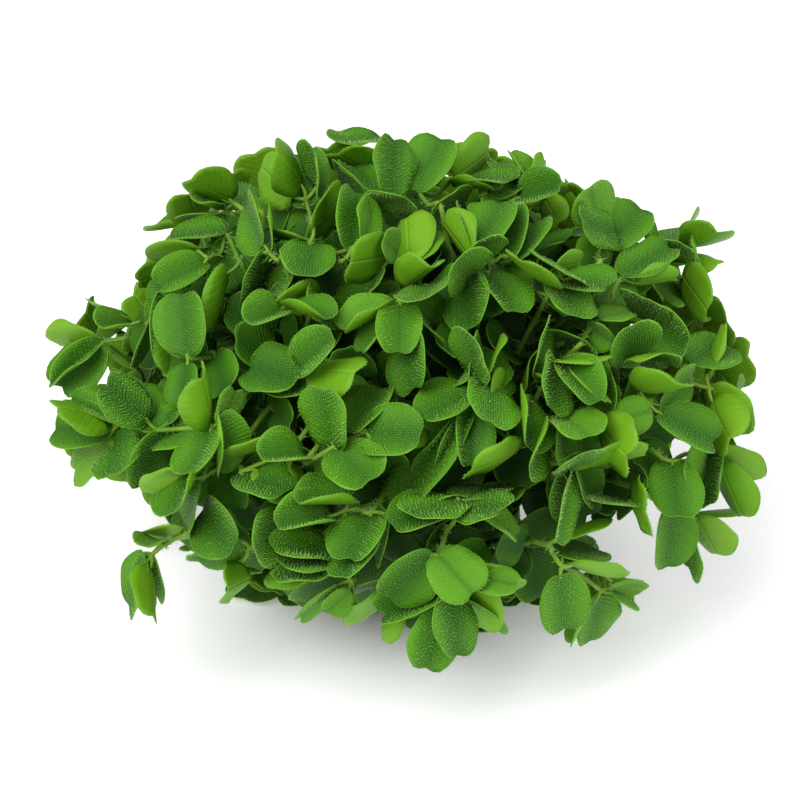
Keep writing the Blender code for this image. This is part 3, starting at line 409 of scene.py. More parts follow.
class Occupied:
    """The space that the placed pieces take, so that no piece runs through another."""

    def __init__(self):
        self.taken = []

    def add(self, owner, shape, inner_shape=None):
        """Keeps a piece's surface and its ball, and the blade or core that its own sprig heeds."""
        middle, reach = self.ball(shape)
        inner = BVHTree.FromBMesh(inner_shape) if inner_shape else None
        self.taken.append((owner, middle, reach, BVHTree.FromBMesh(shape), inner))

    def free(self, owner, shape, inner_shape=None):
        """Whether a shape misses every other piece, and its blade its own sprig's blades."""
        middle, reach = self.ball(shape)
        tree = BVHTree.FromBMesh(shape)
        inner = BVHTree.FromBMesh(inner_shape) if inner_shape else None
        for other, centre, radius, taken, taken_inner in self.taken:
            if (centre - middle).length > radius + reach:
                continue
            if other != owner and taken.overlap(tree):
                return False
            if other == owner and inner and taken_inner and taken_inner.overlap(inner):
                return False
        return True

    @staticmethod
    def ball(shape):
        """Middle and radius of a ball round a shape."""
        middle = sum((vert.co for vert in shape.verts), Vector()) / len(shape.verts)
        return middle, max((vert.co - middle).length for vert in shape.verts)


def rod(start, end, radius):
    """A straight closed tube between two points."""
    shape = bmesh.new()
    turn = (end - start).to_track_quat("Z", "Y").to_matrix().to_4x4()
    place = Matrix.Translation((start + end) / 2) @ turn
    bmesh.ops.create_cone(
        shape, cap_ends=True, segments=6, radius1=radius, radius2=radius,
        depth=(end - start).length, matrix=place,
    )
    return shape


def runner_point(level, turn):
    """A point of the open ring that a runner makes in the heart, turn from 0 to 1 along it."""
    angle = level * GOLDEN_ANGLE + turn * RUNNER_TURN
    height = RUNNER_LEVELS[level] + 2 * RUNNER_RADIUS * math.sin(3 * angle)
    slice_size = math.sqrt(1 - ((height - CLUMP_CENTRE.z) / CLUMP_RADII.z) ** 2) * RUNNER_SIZE
    ring = Vector((math.cos(angle), math.sin(angle), 0)) * slice_size
    return Vector((ring.x * CLUMP_RADII.x, ring.y * CLUMP_RADII.y, height))


def runner_rings():
    """Names and points of the runners."""
    return {
        f"runner_{level + 1}": [
            runner_point(level, turn / RUNNER_STATIONS) for turn in range(RUNNER_STATIONS + 1)
        ]
        for level in range(len(RUNNER_LEVELS))
    }


def stem_route(station, nodes):
    """Points of a stem from its runner, bowed a little upward, through its nodes."""
    reach = nodes[0] - station
    start = station + reach.normalized() * (RUNNER_RADIUS + STEM_RADIUS + CLEARANCE)
    bow = Vector((0, 0, STEM_BOW * reach.length))
    return [start, (start + nodes[0]) / 2 + bow, *nodes]


def stem_core(start, end):
    """The bare middle of a straight run of stem, which its own sprig's blades keep clear of."""
    inset = (end - start).normalized() * STEM_BARE
    if (end - start).length < 3 * STEM_BARE:
        return None
    return rod(start + inset, end - inset, STEM_RADIUS)


def place_stem(name, nodes, stations, occupied):
    """Joins a sprig to the nearest runner station from which the way is clear.

    Where none is, the whole sprig moves a little nearer to the eye or further from it.
    """
    for nudge in steps_outward(*STEM_NUDGES):
        moved = [node + FORWARD * nudge for node in nodes]
        nearest = sorted(stations, key=lambda place: (place - moved[0]).length)
        for station in nearest[:STATIONS_TRIED]:
            route = stem_route(station, moved)
            past_end = route[-1] + (route[-1] - route[-2]).normalized() * 2 * WHORL_LENGTH
            ends = [*route[1:], past_end]
            rods = [rod(a, b, STEM_RADIUS + CLEARANCE) for a, b in zip(route, ends)]
            if all(occupied.free(name, shape) for shape in rods):
                for shape, start, end in zip(rods, route, ends):
                    occupied.add(name, shape, stem_core(start, end))
                stations.remove(station)
                return route, moved
    raise ValueError(f"No clear way to a runner for {name}")


def place_leaf(name, node, choices, occupied):
    """The first choice of a leaf that is clear of everything placed, or None."""
    for leaf in choices:
        shape = leaf.stand_in(node, CLEARANCE)
        if not leaf.resting and min(vert.co.z for vert in shape.verts) < CLEARANCE:
            continue
        start = leaf.point(BLADE_START, 0)
        blade, neck = leaf.stand_in(start), rod(node, start, WHORL_LENGTH)
        neck_core = rod(node.lerp(start, 0.5), start, STEM_RADIUS / 2)
        if occupied.free(name, shape, blade) and occupied.free(name, neck, neck_core):
            occupied.add(name, leaf.stand_in(node, CLEARANCE / 2), blade)
            occupied.add(name, neck, neck_core)
            return leaf
    return None


def loose_leaf(name, choices, occupied):
    """A leaf that may touch others: the first choice that runs through no blade, or the first."""
    for leaf in choices:
        blade = leaf.stand_in(leaf.point(BLADE_START, 0))
        if occupied.free(name, blade, blade):
            occupied.add(name, leaf.stand_in(leaf.base), blade)
            return leaf
    return choices[0]


def steps_outward(step, most):
    """0, then step and -step, twice step and so on, up to most of each."""
    return [0.0] + [side * step * count for count in range(1, most + 1) for side in (1, -1)]


def facing_normal(along, facing, roll, under):
    """Normal of a blade whose upper face, or under face, looks along facing but for a roll."""
    front = (facing - along * facing.dot(along)).normalized()
    side = along.cross(front)
    return (-front if under else front) * math.cos(roll) + side * math.sin(roll)


def near_leaf_choices(row, node, fold):
    """The ways in which one leaf of the picture could stand, the likeliest first."""
    base_pixel, tip_pixel, shown_width, face, layer = row[0:2], row[2:4], row[4], row[5], row[6]
    size = YOUNG_LEAF if face.islower() else 1.0
    distance = (node - EYE).dot(FORWARD)
    base = seen_point(base_pixel, distance)
    gap = base - node
    base = node + gap * min(1.0, PETIOLE / max(gap.length, PETIOLE / 2))
    shown = (seen_point(tip_pixel, distance) - base).length
    length = max(LEAF_LENGTH * size, shown * LEAST_STRETCH)
    lean = math.sqrt(length**2 - shown**2)
    wanted = mound_distance(tip_pixel, layer * LAYER_DEPTH)
    leans = sorted((-lean, lean), key=lambda side: abs(distance + side - wanted))

    shown_width *= distance / VIEW_PIXELS
    width = max(LEAF_WIDTH * size, shown_width)
    fold = min(BOAT_FOLD if face in "BF" else fold, math.acos(shown_width / width))
    roll = math.acos(min(1.0, shown_width / (width * math.cos(fold))))

    shortest, longest = (length * bound for bound in LENGTH_BOUNDS)
    for lean in leans:
        for nudge in steps_outward(*TIP_NUDGES):
            tip = seen_point(tip_pixel, distance + lean + nudge)
            if not shortest < (tip - base).length < longest:
                continue
            along = (tip - base).normalized()
            facing = (EYE - base).normalized()
            outward = mound_outward(tip) + UPWARD_FACING
            for change in steps_outward(*NEAR_TURNS):
                normals = [
                    facing_normal(along, facing, side * (roll + change), face in "UuF")
                    for side in (1, -1)
                ]
                for normal in sorted(normals, key=outward.dot, reverse=True):
                    yield Leaf(base, tip, normal, width, fold)


def far_leaf_choices(node, along, outward, side, fold):
    """The ways in which a leaf on the far side could stand beside its stem."""
    across = outward.cross(along) * side
    for turn in steps_outward(*FAR_TURNS):
        for lift in steps_outward(*FAR_TURNS):
            spread = FAR_SPREAD + turn
            rise = FAR_RISE + lift
            level = along * math.cos(spread) + across * math.sin(spread)
            reach = level * math.cos(rise) + outward * math.sin(rise)
            normal = outward * math.cos(rise) - level * math.sin(rise)
            tip = node + reach * LEAF_LENGTH
            yield Leaf(node + reach * STEM_RADIUS, tip, normal, LEAF_WIDTH, fold)


def under_leaf_choices(node, direction, turn):
    """A leaf lying flat on the surface, turned from the stem's direction, or a little off it."""
    start = Vector((node.x, node.y, 0))
    for change in steps_outward(*UNDER_TURNS):
        reach = Matrix.Rotation(turn + change, 3, "Z") @ direction
        tip = start + reach * LEAF_LENGTH
        yield Leaf(start + reach * STEM_RADIUS, tip, Vector((0, 0, 1)), LEAF_WIDTH, 0.0, True)


def golden_share(count):
    """Even-looking parts between 0 and 1 for the numbers 0, 1, 2 and so on."""
    return (count * (math.sqrt(5) - 1) / 2) % 1


def leaf_fold(count):
    """How far each half of a leaf is folded up, which differs from leaf to leaf."""
    return OPEN_FOLD + FOLD_SPREAD * golden_share(count)


def near_nodes(pixels):
    """The nodes of a near sprig, a little way below the mound's surface."""
    return [seen_point(pixel, mound_distance(pixel, NODE_DEPTH)) for pixel in pixels]


def spread_directions(total):
    """Directions spread evenly all round, each with its turn about Z."""
    for count in range(total):
        height = 1 - 2 * (count + 0.5) / total
        ring = math.sqrt(1 - height * height)
        turn = count * GOLDEN_ANGLE
        yield Vector((ring * math.cos(turn), ring * math.sin(turn), height)), turn


def far_nodes():
    """Names and node lists of the far sprigs, each a short way wound over the mound."""
    sprigs = {}
    for direction, turn in spread_directions(FAR_POINTS):
        start = mound_point(direction, FAR_DEPTH)
        outward = mound_outward(start)
        if outward.dot(FORWARD) < FAR_FACING or start.z < FAR_LOWEST or start.y < FAR_FOREMOST:
            continue
        heading = outward.orthogonal().normalized()
        heading.rotate(Matrix.Rotation(turn, 3, outward))
        if heading.y < 0:
            heading = -heading
        nodes = [start]
        while len(nodes) < FAR_NODES:
            outward = mound_outward(nodes[-1])
            heading = (heading - outward * heading.dot(outward)).normalized()
            heading.rotate(Matrix.Rotation(FAR_CURVE, 3, outward))
            step = nodes[-1] + heading * FAR_STEP - CLUMP_CENTRE
            nodes.append(mound_point(step, FAR_DEPTH))
        sprigs[f"far_sprig_{len(sprigs) + 1:02d}"] = nodes
    return sprigs


def under_nodes():
    """Names and node lists of the sprigs that lie flat below the clump."""
    sprigs = {}
    for count in range(UNDER_SPRIGS):
        turn = count * UNDER_TURN
        outward = Vector((math.cos(turn), math.sin(turn), 0))
        nodes = [outward * radius + Vector((0, 0, UNDER_HEIGHT)) for radius in UNDER_NODES]
        sprigs[f"under_sprig_{count + 1}"] = nodes
    return sprigs


def laid_out_clump():
    """Every sprig as its stem's route and its leaves with their nodes, none through another.

    The loose leaves are those for which the solids had no room.
    """
    occupied = Occupied()
    stations = []
    for name, ring in runner_rings().items():
        for a, b in zip(ring, ring[1:]):
            occupied.add(name, rod(a, b, RUNNER_RADIUS))
        stations += ring[1:-1]

    far, under = far_nodes(), under_nodes()
    nodes = {name: near_nodes(pixels) for name, (pixels, rows) in NEAR_SPRIGS.items()}
    nodes.update(under)
    nodes.update(far)
    routes = {}
    for name in nodes:
        routes[name], nodes[name] = place_stem(name, nodes[name], stations, occupied)
    leaves = {name: [] for name in nodes}

    missing = []

    def grow(name, node, choices):
        choices = list(choices)
        leaf = place_leaf(name, node, choices, occupied)
        if leaf:
            leaves[name].append((leaf, node))
        elif name in NEAR_SPRIGS and choices:
            missing.append((name, node, choices))

    for name in under:
        places = nodes[name]
        outward = (places[0] - places[-1]).normalized()
        grow(name, places[-1], under_leaf_choices(places[-1], outward, BACKWARD_LEAF))
        for node in places:
            for side in (1, -1):
                grow(name, node, under_leaf_choices(node, outward, side * UNDER_SPREAD))

    rows = [(name, row) for name, (pixels, rows) in NEAR_SPRIGS.items() for row in rows]
    for count, (name, row) in enumerate(sorted(rows, key=lambda named: named[1][6])):
        base = seen_point(row[0:2], mound_distance(row[0:2], NODE_DEPTH))
        node = min(nodes[name], key=lambda place: (place - base).length)
        grow(name, node, near_leaf_choices(row, node, leaf_fold(count)))

    for name in far:
        places = nodes[name]
        for count, node in enumerate(places):
            ahead = places[min(count + 1, len(places) - 1)] - places[min(count, len(places) - 2)]
            outward = mound_outward(node)
            for side in (1, -1):
                fold = leaf_fold(2 * count + side)
                grow(name, node, far_leaf_choices(node, ahead.normalized(), outward, side, fold))
    loose = {name: [] for name in nodes}
    for name, node, choices in missing:
        loose[name].append((loose_leaf(name, choices, occupied), node))
    return routes, nodes, leaves, loose, occupied


# The round flat blade that every fine leaf is bent from, and the strips that it is drawn in
ROUND_RADIUS = 0.0055
ROUND_ACROSS = 6
ROUND_ALONG = 8
TEMPLATES_EACH = 3

# Hairs of the upper face, which stand in rows that run outward from the midrib, and of the rim
ROW_SPACING = 0.00068
HAIR_SPACING = 0.00060
ROW_ANGLE = math.radians(58)
HAIR_RIM = 0.95
HAIR_LEAN = math.radians(16)
HAIR_SCATTER = 0.13
HAIR_LENGTHS = (0.7, 1.15)
RIM_HAIRS = 48
RIM_HAIR_SIZE = 0.7
RIM_HAIR_PLACE = 0.985
RIM_HAIR_LEAN = math.radians(52)
FULL_HAIRS, NO_HAIRS = 1.0, 0.0

# How the blade is bent: how square its outline is, the notch at its tip and the heart shape of its
# base, the round of its midrib, the ripples along and across it, how much wider than its solid it
# is, the step that finds its slope, and its least gap to the floor
SQUARENESS, SQUARE_LIMIT = 0.07, 0.97
NOTCH_DEPTH, NOTCH_WIDTH = 0.16, 0.27
HEART_DEPTH, HEART_WIDTH = 0.10, 0.25
MIDRIB_ROUNDING = 0.0022
RIPPLE_ALONG, RIPPLE_ACROSS = 9, 2
FULLNESS = 1.05
SLOPE_STEP = 0.02
FLOOR_GAP = 0.0002

# A leaf's stalk: where it ends along the leaf, how much it bows, and the shortest that is drawn
STALK_END = 0.06
STALK_BOW = 0.1
STALK_LEAST = 0.0002

# Part of the full length below which a leaf has a young leaf's colour
YOUNG_BELOW = 0.9

# Stems: how far they sag between their nodes, how much they taper, and the hairs on them, with the
# part of a stem's radius at which a hair is rooted
STEM_SAG = 0.0016
STEM_TAPER = 0.4
STEM_HAIR_LENGTHS = (0.6, 1.2)
STEM_HAIR_LEAN = 0.25
STEM_HAIR_ROOT = 0.8
STEM_HAIR_SIZE = 0.8

# Small leaves in the shade, in pairs along the inner run of each stem and on the runners: the step
# from pair to pair, sizes, how far they lean and face ahead, and where they may end
SHADE_STEP = 0.0042
SHADE_LENGTHS = (0.0085, 0.0112)
SHADE_WIDTH = 0.85
SHADE_FOLD = math.radians(20)
SHADE_STALK = 0.001
SHADE_AHEAD = 0.35
SHADE_FACING = 0.5
SHADE_LEAST_DEPTH = 0.0035
SHADE_LOWEST = 0.003
SHADE_PATH_STEPS = 6

# Side shoots of two leaves where no leaf's middle is within reach: one layer over the far side and
# the flanks, and a deeper one all round. Each layer has its depth in the mound, how much it may
# face the eye, and its share of hairs
SHOOT_LAYERS = ((0.0065, -0.12, FULL_HAIRS), (0.0170, -1.01, NO_HAIRS))
SHOOT_POINTS = 520
SHOOT_LOWEST = 0.009
SHOOT_REACH = 0.0070
SHOOT_LONGEST = 0.022
SHOOT_TURN = 0.3
SHOOT_BOW = 0.2
SHOOT_HAIRS = 10

# Spots that have to lie within the outline: parts of a shoot's stem, and along and across a leaf
STEM_SPOTS = (0.25, 0.5, 0.75, 1.0)
LEAF_SPOTS = ((1, 0), (0.5, 1), (0.5, -1))

# The gloss of the plant's skin, the strength of its relief with its depth in metres, and how far
# out in the clump the painted shade of its heart reaches before the leaves show their own colours
LEAF_GLOSS = 0.18
RELIEF = 0.6
UPPER_DEPTH, UNDER_DEPTH, STEM_DEPTH = 0.00025, 0.0002, 0.0001
PAINTED_SHADE_EDGES = (0.66, 0.99)

# Fineness of the noise in the leaves' cells, in the mottling, in the rows of pores and elsewhere
CELL_SCALE = 1500.0
UPPER_MOTTLE_SCALE, UNDER_MOTTLE_SCALE = 140.0, 120.0
ROW_SCALE = 420.0
STEM_FINE_SCALE, STEM_BROAD_SCALE = 900.0, 160.0
HAIR_SCALE = 400.0
PAPER_SCALE = 60.0
NOISE_DETAIL = 2.0

# Markings of the faces, in millimetres but for edges, which are parts: the rows of pores wander
# and bend, the painted shade in the valley of the fold gives way to lighter green outward, and
# veins slant from the midrib of the under face
ROW_WANDER, ROW_BEND = 0.9, 0.8
PORE_EDGES = (0.35, 0.9)
VALLEY_SHADE_FROM_TO = (0.6, 4.6)
UPPER_MIDRIB, UNDER_MIDRIB = 1.1, 0.45
UPPER_RIM_EDGES, UNDER_RIM_EDGES = (0.97, 1.0), (0.95, 1.0)
VEIN_SPACING, VEIN_SLANT = 1.5, 0.7
VEIN_EDGES = (0.55, 1.0)
STREAK_EDGES = (0.35, 0.65)

# Places of the two colours among the sockets of a Mix node
FIRST_COLOUR, SECOND_COLOUR = 6, 7

# Painted light: the share of white light that the floor sends out by itself, though it is no lamp,
# to lighten the shadows on it, and how far from the clump's middle it starts and is full, so that
# the floor under the clump keeps its shade
FLOOR_PAINTED_LIGHT = 0.3
FLOOR_PAINTED_LIGHT_EDGES = (0.008, 0.034)

# The studio: place and width of each light, and the width of the camera's sensor and its range
KEY_LIGHT = (Vector((-0.35, -0.45, 0.75)), 0.7)
FILL_LIGHT = (Vector((0.65, -0.25, 0.45)), 0.6)
SENSOR_WIDTH = 36.0
CAMERA_RANGE = (0.01, 20.0)

# Places of the materials on every piece
UPPER, UNDER, HAIR, STEM = range(4)


class BladeForm:
    """How one fine blade departs from a flat round one, from a seeded chance."""

    def __init__(self, chance):
        self.curl = chance.uniform(-0.14, 0.16)
        self.roll = chance.uniform(-0.16, 0.22)
        self.droop = chance.uniform(-0.22, 0.05)
        self.wave = chance.uniform(0.0, 0.10)
        self.phase = chance.uniform(0.0, math.tau)
        self.wedge = chance.uniform(-0.06, 0.12)
        self.heart = chance.uniform(0.0, 1.0)
        self.notch = 0.4 + 0.6 * chance.random() ** 1.6
        self.skew = chance.uniform(-0.05, 0.05)


class FineBlade:
    """Bends the round flat blade onto a leaf."""

    def __init__(self, leaf, form):
        self.leaf, self.form = leaf, form
        self.half = FULLNESS * leaf.width / 2
        self.lift, self.spread = math.sin(leaf.fold), self.half * math.cos(leaf.fold)
        self.lowest = FLOOR_GAP + bpy.context.scene.spangle_sizes.blade_thickness / 2

    def outline(self, x, y):
        """Parts along and across the leaf for a spot of the unit disc."""
        form = self.form
        across = x * (1 - min(y * y, SQUARE_LIMIT)) ** -SQUARENESS * (1 + form.wedge * y)
        dip = form.notch * NOTCH_DEPTH * math.exp(-((x / NOTCH_WIDTH) ** 2)) * max(y, 0) ** 4
        rounding = 1 - math.exp(-((x / HEART_WIDTH) ** 2))
        lobes = form.heart * HEART_DEPTH * rounding * max(-y, 0) ** 2
        along = (1 + y) / 2 - dip - lobes + form.skew * x * abs(x)
        return along, across

    def height(self, along, across):
        """Rise of the blade over its chord, along its normal."""
        form = self.form
        crease = math.hypot(across * self.half, MIDRIB_ROUNDING) - MIDRIB_ROUNDING
        cup = self.half * (form.curl * across * across + form.roll * across**4)
        arch = -form.droop * self.leaf.length * along * along
        swing = math.sin(form.phase + RIPPLE_ALONG * along + RIPPLE_ACROSS * across)
        ripple = form.wave * self.half * across * across * swing
        return crease * self.lift + cup + arch + ripple

    def place(self, spot):
        """Where a spot of the round blade comes to stand, as high over the leaf as it was."""
        leaf = self.leaf
        along, across = self.outline(spot.x / ROUND_RADIUS, spot.y / ROUND_RADIUS)
        height = self.height(along, across)
        rise_across = self.height(along, across + SLOPE_STEP) - height
        rise_along = self.height(along + SLOPE_STEP, across) - height
        slope_across = rise_across / (SLOPE_STEP * self.spread)
        slope_along = rise_along / (SLOPE_STEP * leaf.length)
        up = spot.z / math.sqrt(1 + slope_across**2 + slope_along**2)
        point = (
            leaf.base
            + (along * leaf.length - slope_along * up) * leaf.along
            + (across * self.spread - slope_across * up) * leaf.across
            + (height + up) * leaf.normal
        )
        point.z = max(point.z, self.lowest + spot.z)
        return point


def hair_roots():
    """Where the hairs of the upper face stand, and their turn about Z and lean from it.

    They stand in rows that run outward and on from the midrib, and lean out round the rim.
    """
    roots = []
    reach = 2 * ROUND_RADIUS
    for row in range(-round(reach / ROW_SPACING), round(reach / ROW_SPACING)):
        for step in range(1, round(reach / HAIR_SPACING)):
            out = (step - 0.5) * HAIR_SPACING
            for side in (1, -1):
                spot = Vector((
                    side * out * math.sin(ROW_ANGLE),
                    row * ROW_SPACING + out * math.cos(ROW_ANGLE) * (1 + out / ROUND_RADIUS) / 2,
                    0,
                ))
                if spot.length < HAIR_RIM * ROUND_RADIUS:
                    roots.append((spot, 0.0, 0.0))
    for count in range(RIM_HAIRS):
        turn = math.tau * count / RIM_HAIRS
        outward = Vector((math.cos(turn), math.sin(turn), 0))
        roots.append((RIM_HAIR_PLACE * ROUND_RADIUS * outward, turn, RIM_HAIR_LEAN))
    return roots


def add_hair(shape, radius, length, place):
    """A pointed hair of three sides along Z, with its middle where place puts it."""
    made = bmesh.ops.create_cone(
        shape, cap_ends=False, segments=3, radius1=radius, radius2=0, depth=length, matrix=place,
    )
    for face in {face for vert in made["verts"] for face in vert.link_faces}:
        face.material_index = HAIR


def bare_blade():
    """The round flat blade without hairs, with the part of the radius at each vertex as rim."""
    thickness = bpy.context.scene.spangle_sizes.blade_thickness
    shape = bmesh.new()
    bmesh.ops.create_grid(shape, x_segments=ROUND_ACROSS, y_segments=ROUND_ALONG, size=1)
    rim = shape.verts.layers.float.new("rim")
    for vert in shape.verts:
        x, y = vert.co.x, vert.co.y
        vert.co.x = x * math.sqrt(1 - y * y / 2) * ROUND_RADIUS
        vert.co.y = y * math.sqrt(1 - x * x / 2) * ROUND_RADIUS
        vert[rim] = vert.co.length / ROUND_RADIUS
    grown = bmesh.ops.extrude_face_region(shape, geom=shape.faces, use_keep_orig=True)["geom"]
    upper = [part for part in grown if isinstance(part, bmesh.types.BMVert)]
    bmesh.ops.translate(shape, verts=upper, vec=(0, 0, thickness))
    bmesh.ops.translate(shape, verts=shape.verts, vec=(0, 0, -thickness / 2))
    bmesh.ops.recalc_face_normals(shape, faces=shape.faces)
    shape.normal_update()
    for face in shape.faces:
        face.smooth = True
        face.material_index = UNDER if face.normal.z < -0.5 else UPPER
    return shape


@functools.lru_cache(maxsize=None)
def round_blade(share, variant):
    """Mesh of the round flat blade, with a share of its hairs."""
    sizes = bpy.context.scene.spangle_sizes
    chance = random.Random(variant)
    shape = bare_blade()
    for root, turn, lean in hair_roots():
        if chance.random() > share:
            continue
        jitter = Vector((chance.gauss(0, 1), chance.gauss(0, 1), 0)) * HAIR_SCATTER * HAIR_SPACING
        if lean:
            jitter = Vector((0, 0, 0))
        size = RIM_HAIR_SIZE if lean else 1.0
        length = size * sizes.hair_length * chance.uniform(*HAIR_LENGTHS)
        tilt = Matrix.Rotation(lean + chance.gauss(0, HAIR_LEAN), 4, "Y")
        pose = Matrix.Rotation(turn, 4, "Z") @ tilt
        pose @= Matrix.Rotation(chance.gauss(0, HAIR_LEAN), 4, "X")
        place = Matrix.Translation(root + jitter) @ pose @ Matrix.Translation((0, 0, length / 2))
        add_hair(shape, size * sizes.hair_radius, length, place)

    leaf_map = shape.loops.layers.uv.new("leaf")
    for face in shape.faces:
        for loop in face.loops:
            loop[leaf_map].uv = loop.vert.co.xy / (2 * ROUND_RADIUS) + Vector((0.5, 0.5))
    mesh = bpy.data.meshes.new("round_blade")
    shape.to_mesh(mesh)
    shape.free()
    return mesh


def linked(name, data):
    """A new object of the scene, at the origin."""
    thing = bpy.data.objects.new(name, data)
    bpy.context.scene.collection.objects.link(thing)
    return thing


class Sprig:
    """The mesh of one piece as it grows: stems first, then leaves."""

    def __init__(self, name):
        self.name = name
        self.chance = random.Random(name)
        self.shape = bmesh.new()
        for word in ("rim", "tint", "young"):
            self.shape.verts.layers.float.new(word)
        self.shape.loops.layers.uv.new("leaf")

    def join(self, other):
        """Joins another shape on, and frees it."""
        mesh = bpy.data.meshes.new("joined")
        other.to_mesh(mesh)
        other.free()
        self.shape.from_mesh(mesh)
        bpy.data.meshes.remove(mesh)

    def add_leaf(self, leaf, node, share, young=0.0):
        """A fine leaf with a share of its hairs, and its stalk from the node."""
        blade = FineBlade(leaf, BladeForm(self.chance))
        shape = bmesh.new()
        shape.from_mesh(round_blade(share, self.chance.randrange(TEMPLATES_EACH)))
        tint_layer = shape.verts.layers.float.new("tint")
        young_layer = shape.verts.layers.float.new("young")
        tint = self.chance.random()
        for vert in shape.verts:
            vert.co = blade.place(vert.co)
            vert[tint_layer], vert[young_layer] = tint, young
        self.join(shape)
        foot = leaf.point(STALK_END, 0)
        if (foot - node).length > STALK_LEAST:
            middle = (node + foot) / 2 - leaf.normal * STALK_BOW * (foot - node).length
            self.add_stem([node, middle, foot], bpy.context.scene.spangle_sizes.petiole_radius)

    def add_stem(self, points, radius, hairs=0):
        """A round stem through the points, with hairs standing off it."""
        path = smooth_path(points)
        self.join(round_tube(path, radius))
        sizes = bpy.context.scene.spangle_sizes
        for _ in range(hairs):
            end = self.chance.randrange(1, len(path))
            along = path[end] - path[end - 1]
            root = path[end - 1].lerp(path[end], self.chance.random())
            around = Matrix.Rotation(self.chance.uniform(0, math.tau), 3, along.normalized())
            outward = around @ along.orthogonal().normalized()
            lean = self.chance.gauss(0, STEM_HAIR_LEAN)
            outward = (outward + along.normalized() * lean).normalized()
            length = sizes.stem_hair_length * self.chance.uniform(*STEM_HAIR_LENGTHS)
            middle = root + outward * (radius * STEM_HAIR_ROOT + length / 2)
            if middle.z < 2 * sizes.stem_hair_length:
                continue
            turn = outward.to_track_quat("Z", "Y").to_matrix().to_4x4()
            place = Matrix.Translation(middle) @ turn
            add_hair(self.shape, sizes.hair_radius * STEM_HAIR_SIZE, length, place)

    def finish(self, slot, replaced):
        """Makes the piece, which rides on the root and stands for its solid."""
        mesh = bpy.data.meshes.new(self.name)
        self.shape.to_mesh(mesh)
        self.shape.free()
        for material in plant_materials():
            mesh.materials.append(material)
        piece = linked(f"fine_{self.name}", mesh)
        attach(piece, "root")
        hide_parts(replaced)


def sagging_route(route):
    """The route of a stem, which sags a little way into the clump between its places."""
    sagging = [route[0]]
    for a, b in zip(route, route[1:]):
        middle = (a + b) / 2
        sagging += [middle - mound_outward(middle) * min(STEM_SAG, (b - a).length / 4), b]
    return sagging


def smooth_path(points, steps=4):
    """Points of a smooth curve through the given ones."""
    ends = [2 * points[0] - points[1], *points, 2 * points[-1] - points[-2]]
    path = []
    for a, b, c, d in zip(ends, ends[1:], ends[2:], ends[3:]):
        for step in range(steps):
            t = step / steps
            path.append(
                b + (c - a) * t / 2 + (a - 2.5 * b + 2 * c - d / 2) * t**2
                + (1.5 * (b - c) + (d - a) / 2) * t**3
            )
    return [*path, points[-1]]


def round_tube(path, radius):
    """A closed tube of six sides that tapers a little to its far end."""
    curve = bpy.data.curves.new("stem", "CURVE")
    curve.dimensions = "3D"
    curve.bevel_depth = radius
    curve.bevel_resolution = 1
    curve.use_fill_caps = True
    spline = curve.splines.new("POLY")
    spline.points.add(len(path) - 1)
    for count, (point, place) in enumerate(zip(spline.points, path)):
        point.co = (place.x, place.y, max(place.z, radius + FLOOR_GAP), 1)
        point.radius = 1 - STEM_TAPER * count / len(path)
    drawn = linked("stem", curve)
    bpy.context.view_layer.update()
    evaluated = drawn.evaluated_get(bpy.context.evaluated_depsgraph_get())
    mesh = bpy.data.meshes.new_from_object(evaluated)
    bpy.data.objects.remove(drawn)
    bpy.data.curves.remove(curve)
    shape = bmesh.new()
    shape.from_mesh(mesh)
    bmesh.ops.remove_doubles(shape, verts=shape.verts, dist=radius / 100)
    bmesh.ops.recalc_face_normals(shape, faces=shape.faces)
    for face in shape.faces:
        face.smooth = True
        face.material_index = STEM
    bpy.data.meshes.remove(mesh)
    return shape


def shade_leaves(name, path, chance, occupied):
    """Small leaves in pairs along a path in the heart, each where it runs through no other blade."""
    found = []
    travelled, turn = 0.0, chance.uniform(0, math.tau)
    for a, b in zip(path, path[1:]):
        travelled += (b - a).length
        if travelled < SHADE_STEP:
            continue
        travelled = 0.0
        turn += GOLDEN_ANGLE
        ahead = (b - a).normalized()
        for side in (0.0, math.pi):
            for change in steps_outward(*SHADE_TURNS):
                around = Matrix.Rotation(turn + side + change, 3, ahead)
                aside = around @ ahead.orthogonal().normalized()
                reach = (aside + ahead * SHADE_AHEAD).normalized()
                length = chance.uniform(*SHADE_LENGTHS)
                tip = b + reach * length
                outwardness = in_radii(tip - CLUMP_CENTRE, SHADE_LEAST_DEPTH).length
                if outwardness > 1 or tip.z < SHADE_LOWEST:
                    continue
                facing = mound_outward(b) + ahead * SHADE_FACING
                normal = (facing - reach * facing.dot(reach)).normalized()
                base = b + reach * SHADE_STALK
                leaf = Leaf(base, tip, normal, length * SHADE_WIDTH, SHADE_FOLD)
                blade = leaf.stand_in(leaf.point(BLADE_START, 0))
                if occupied.free(name, blade, blade):
                    occupied.add(name, leaf.stand_in(b), blade)
                    found.append((leaf, b))
                    break
    return found


def lined_up(point, taken):
    """Whether something stands before or behind a point, as the eye of the picture sees it."""
    line = (point - EYE).normalized()
    for _, middle, reach, tree, _ in taken:
        aside = (middle - EYE) - line * (middle - EYE).dot(line)
        if aside.length < reach and tree.ray_cast(EYE, line)[0]:
            return True
    return False


def shoot_leaves(name, count, joint, place, laid, occupied):
    """The leaves of one side shoot that have room and stay within the outline."""
    outward = mound_outward(place)
    ahead = (place - joint) - outward * (place - joint).dot(outward)
    ahead = (ahead + outward.orthogonal() * ahead.length * SHOOT_TURN).normalized()
    grown = []
    for side in (1, -1):
        fold = leaf_fold(2 * count + side)
        for leaf in far_leaf_choices(place, ahead, outward, side, fold):
            blade = leaf.stand_in(leaf.point(BLADE_START, 0))
            if leaf.point(1, 0).z < LEAF_THICKNESS or not occupied.free(name, blade, blade):
                continue
            if all(lined_up(leaf.point(*spot), laid) for spot in LEAF_SPOTS):
                occupied.add(name, leaf.stand_in(leaf.base), blade)
                grown.append(leaf)
                break
    return grown


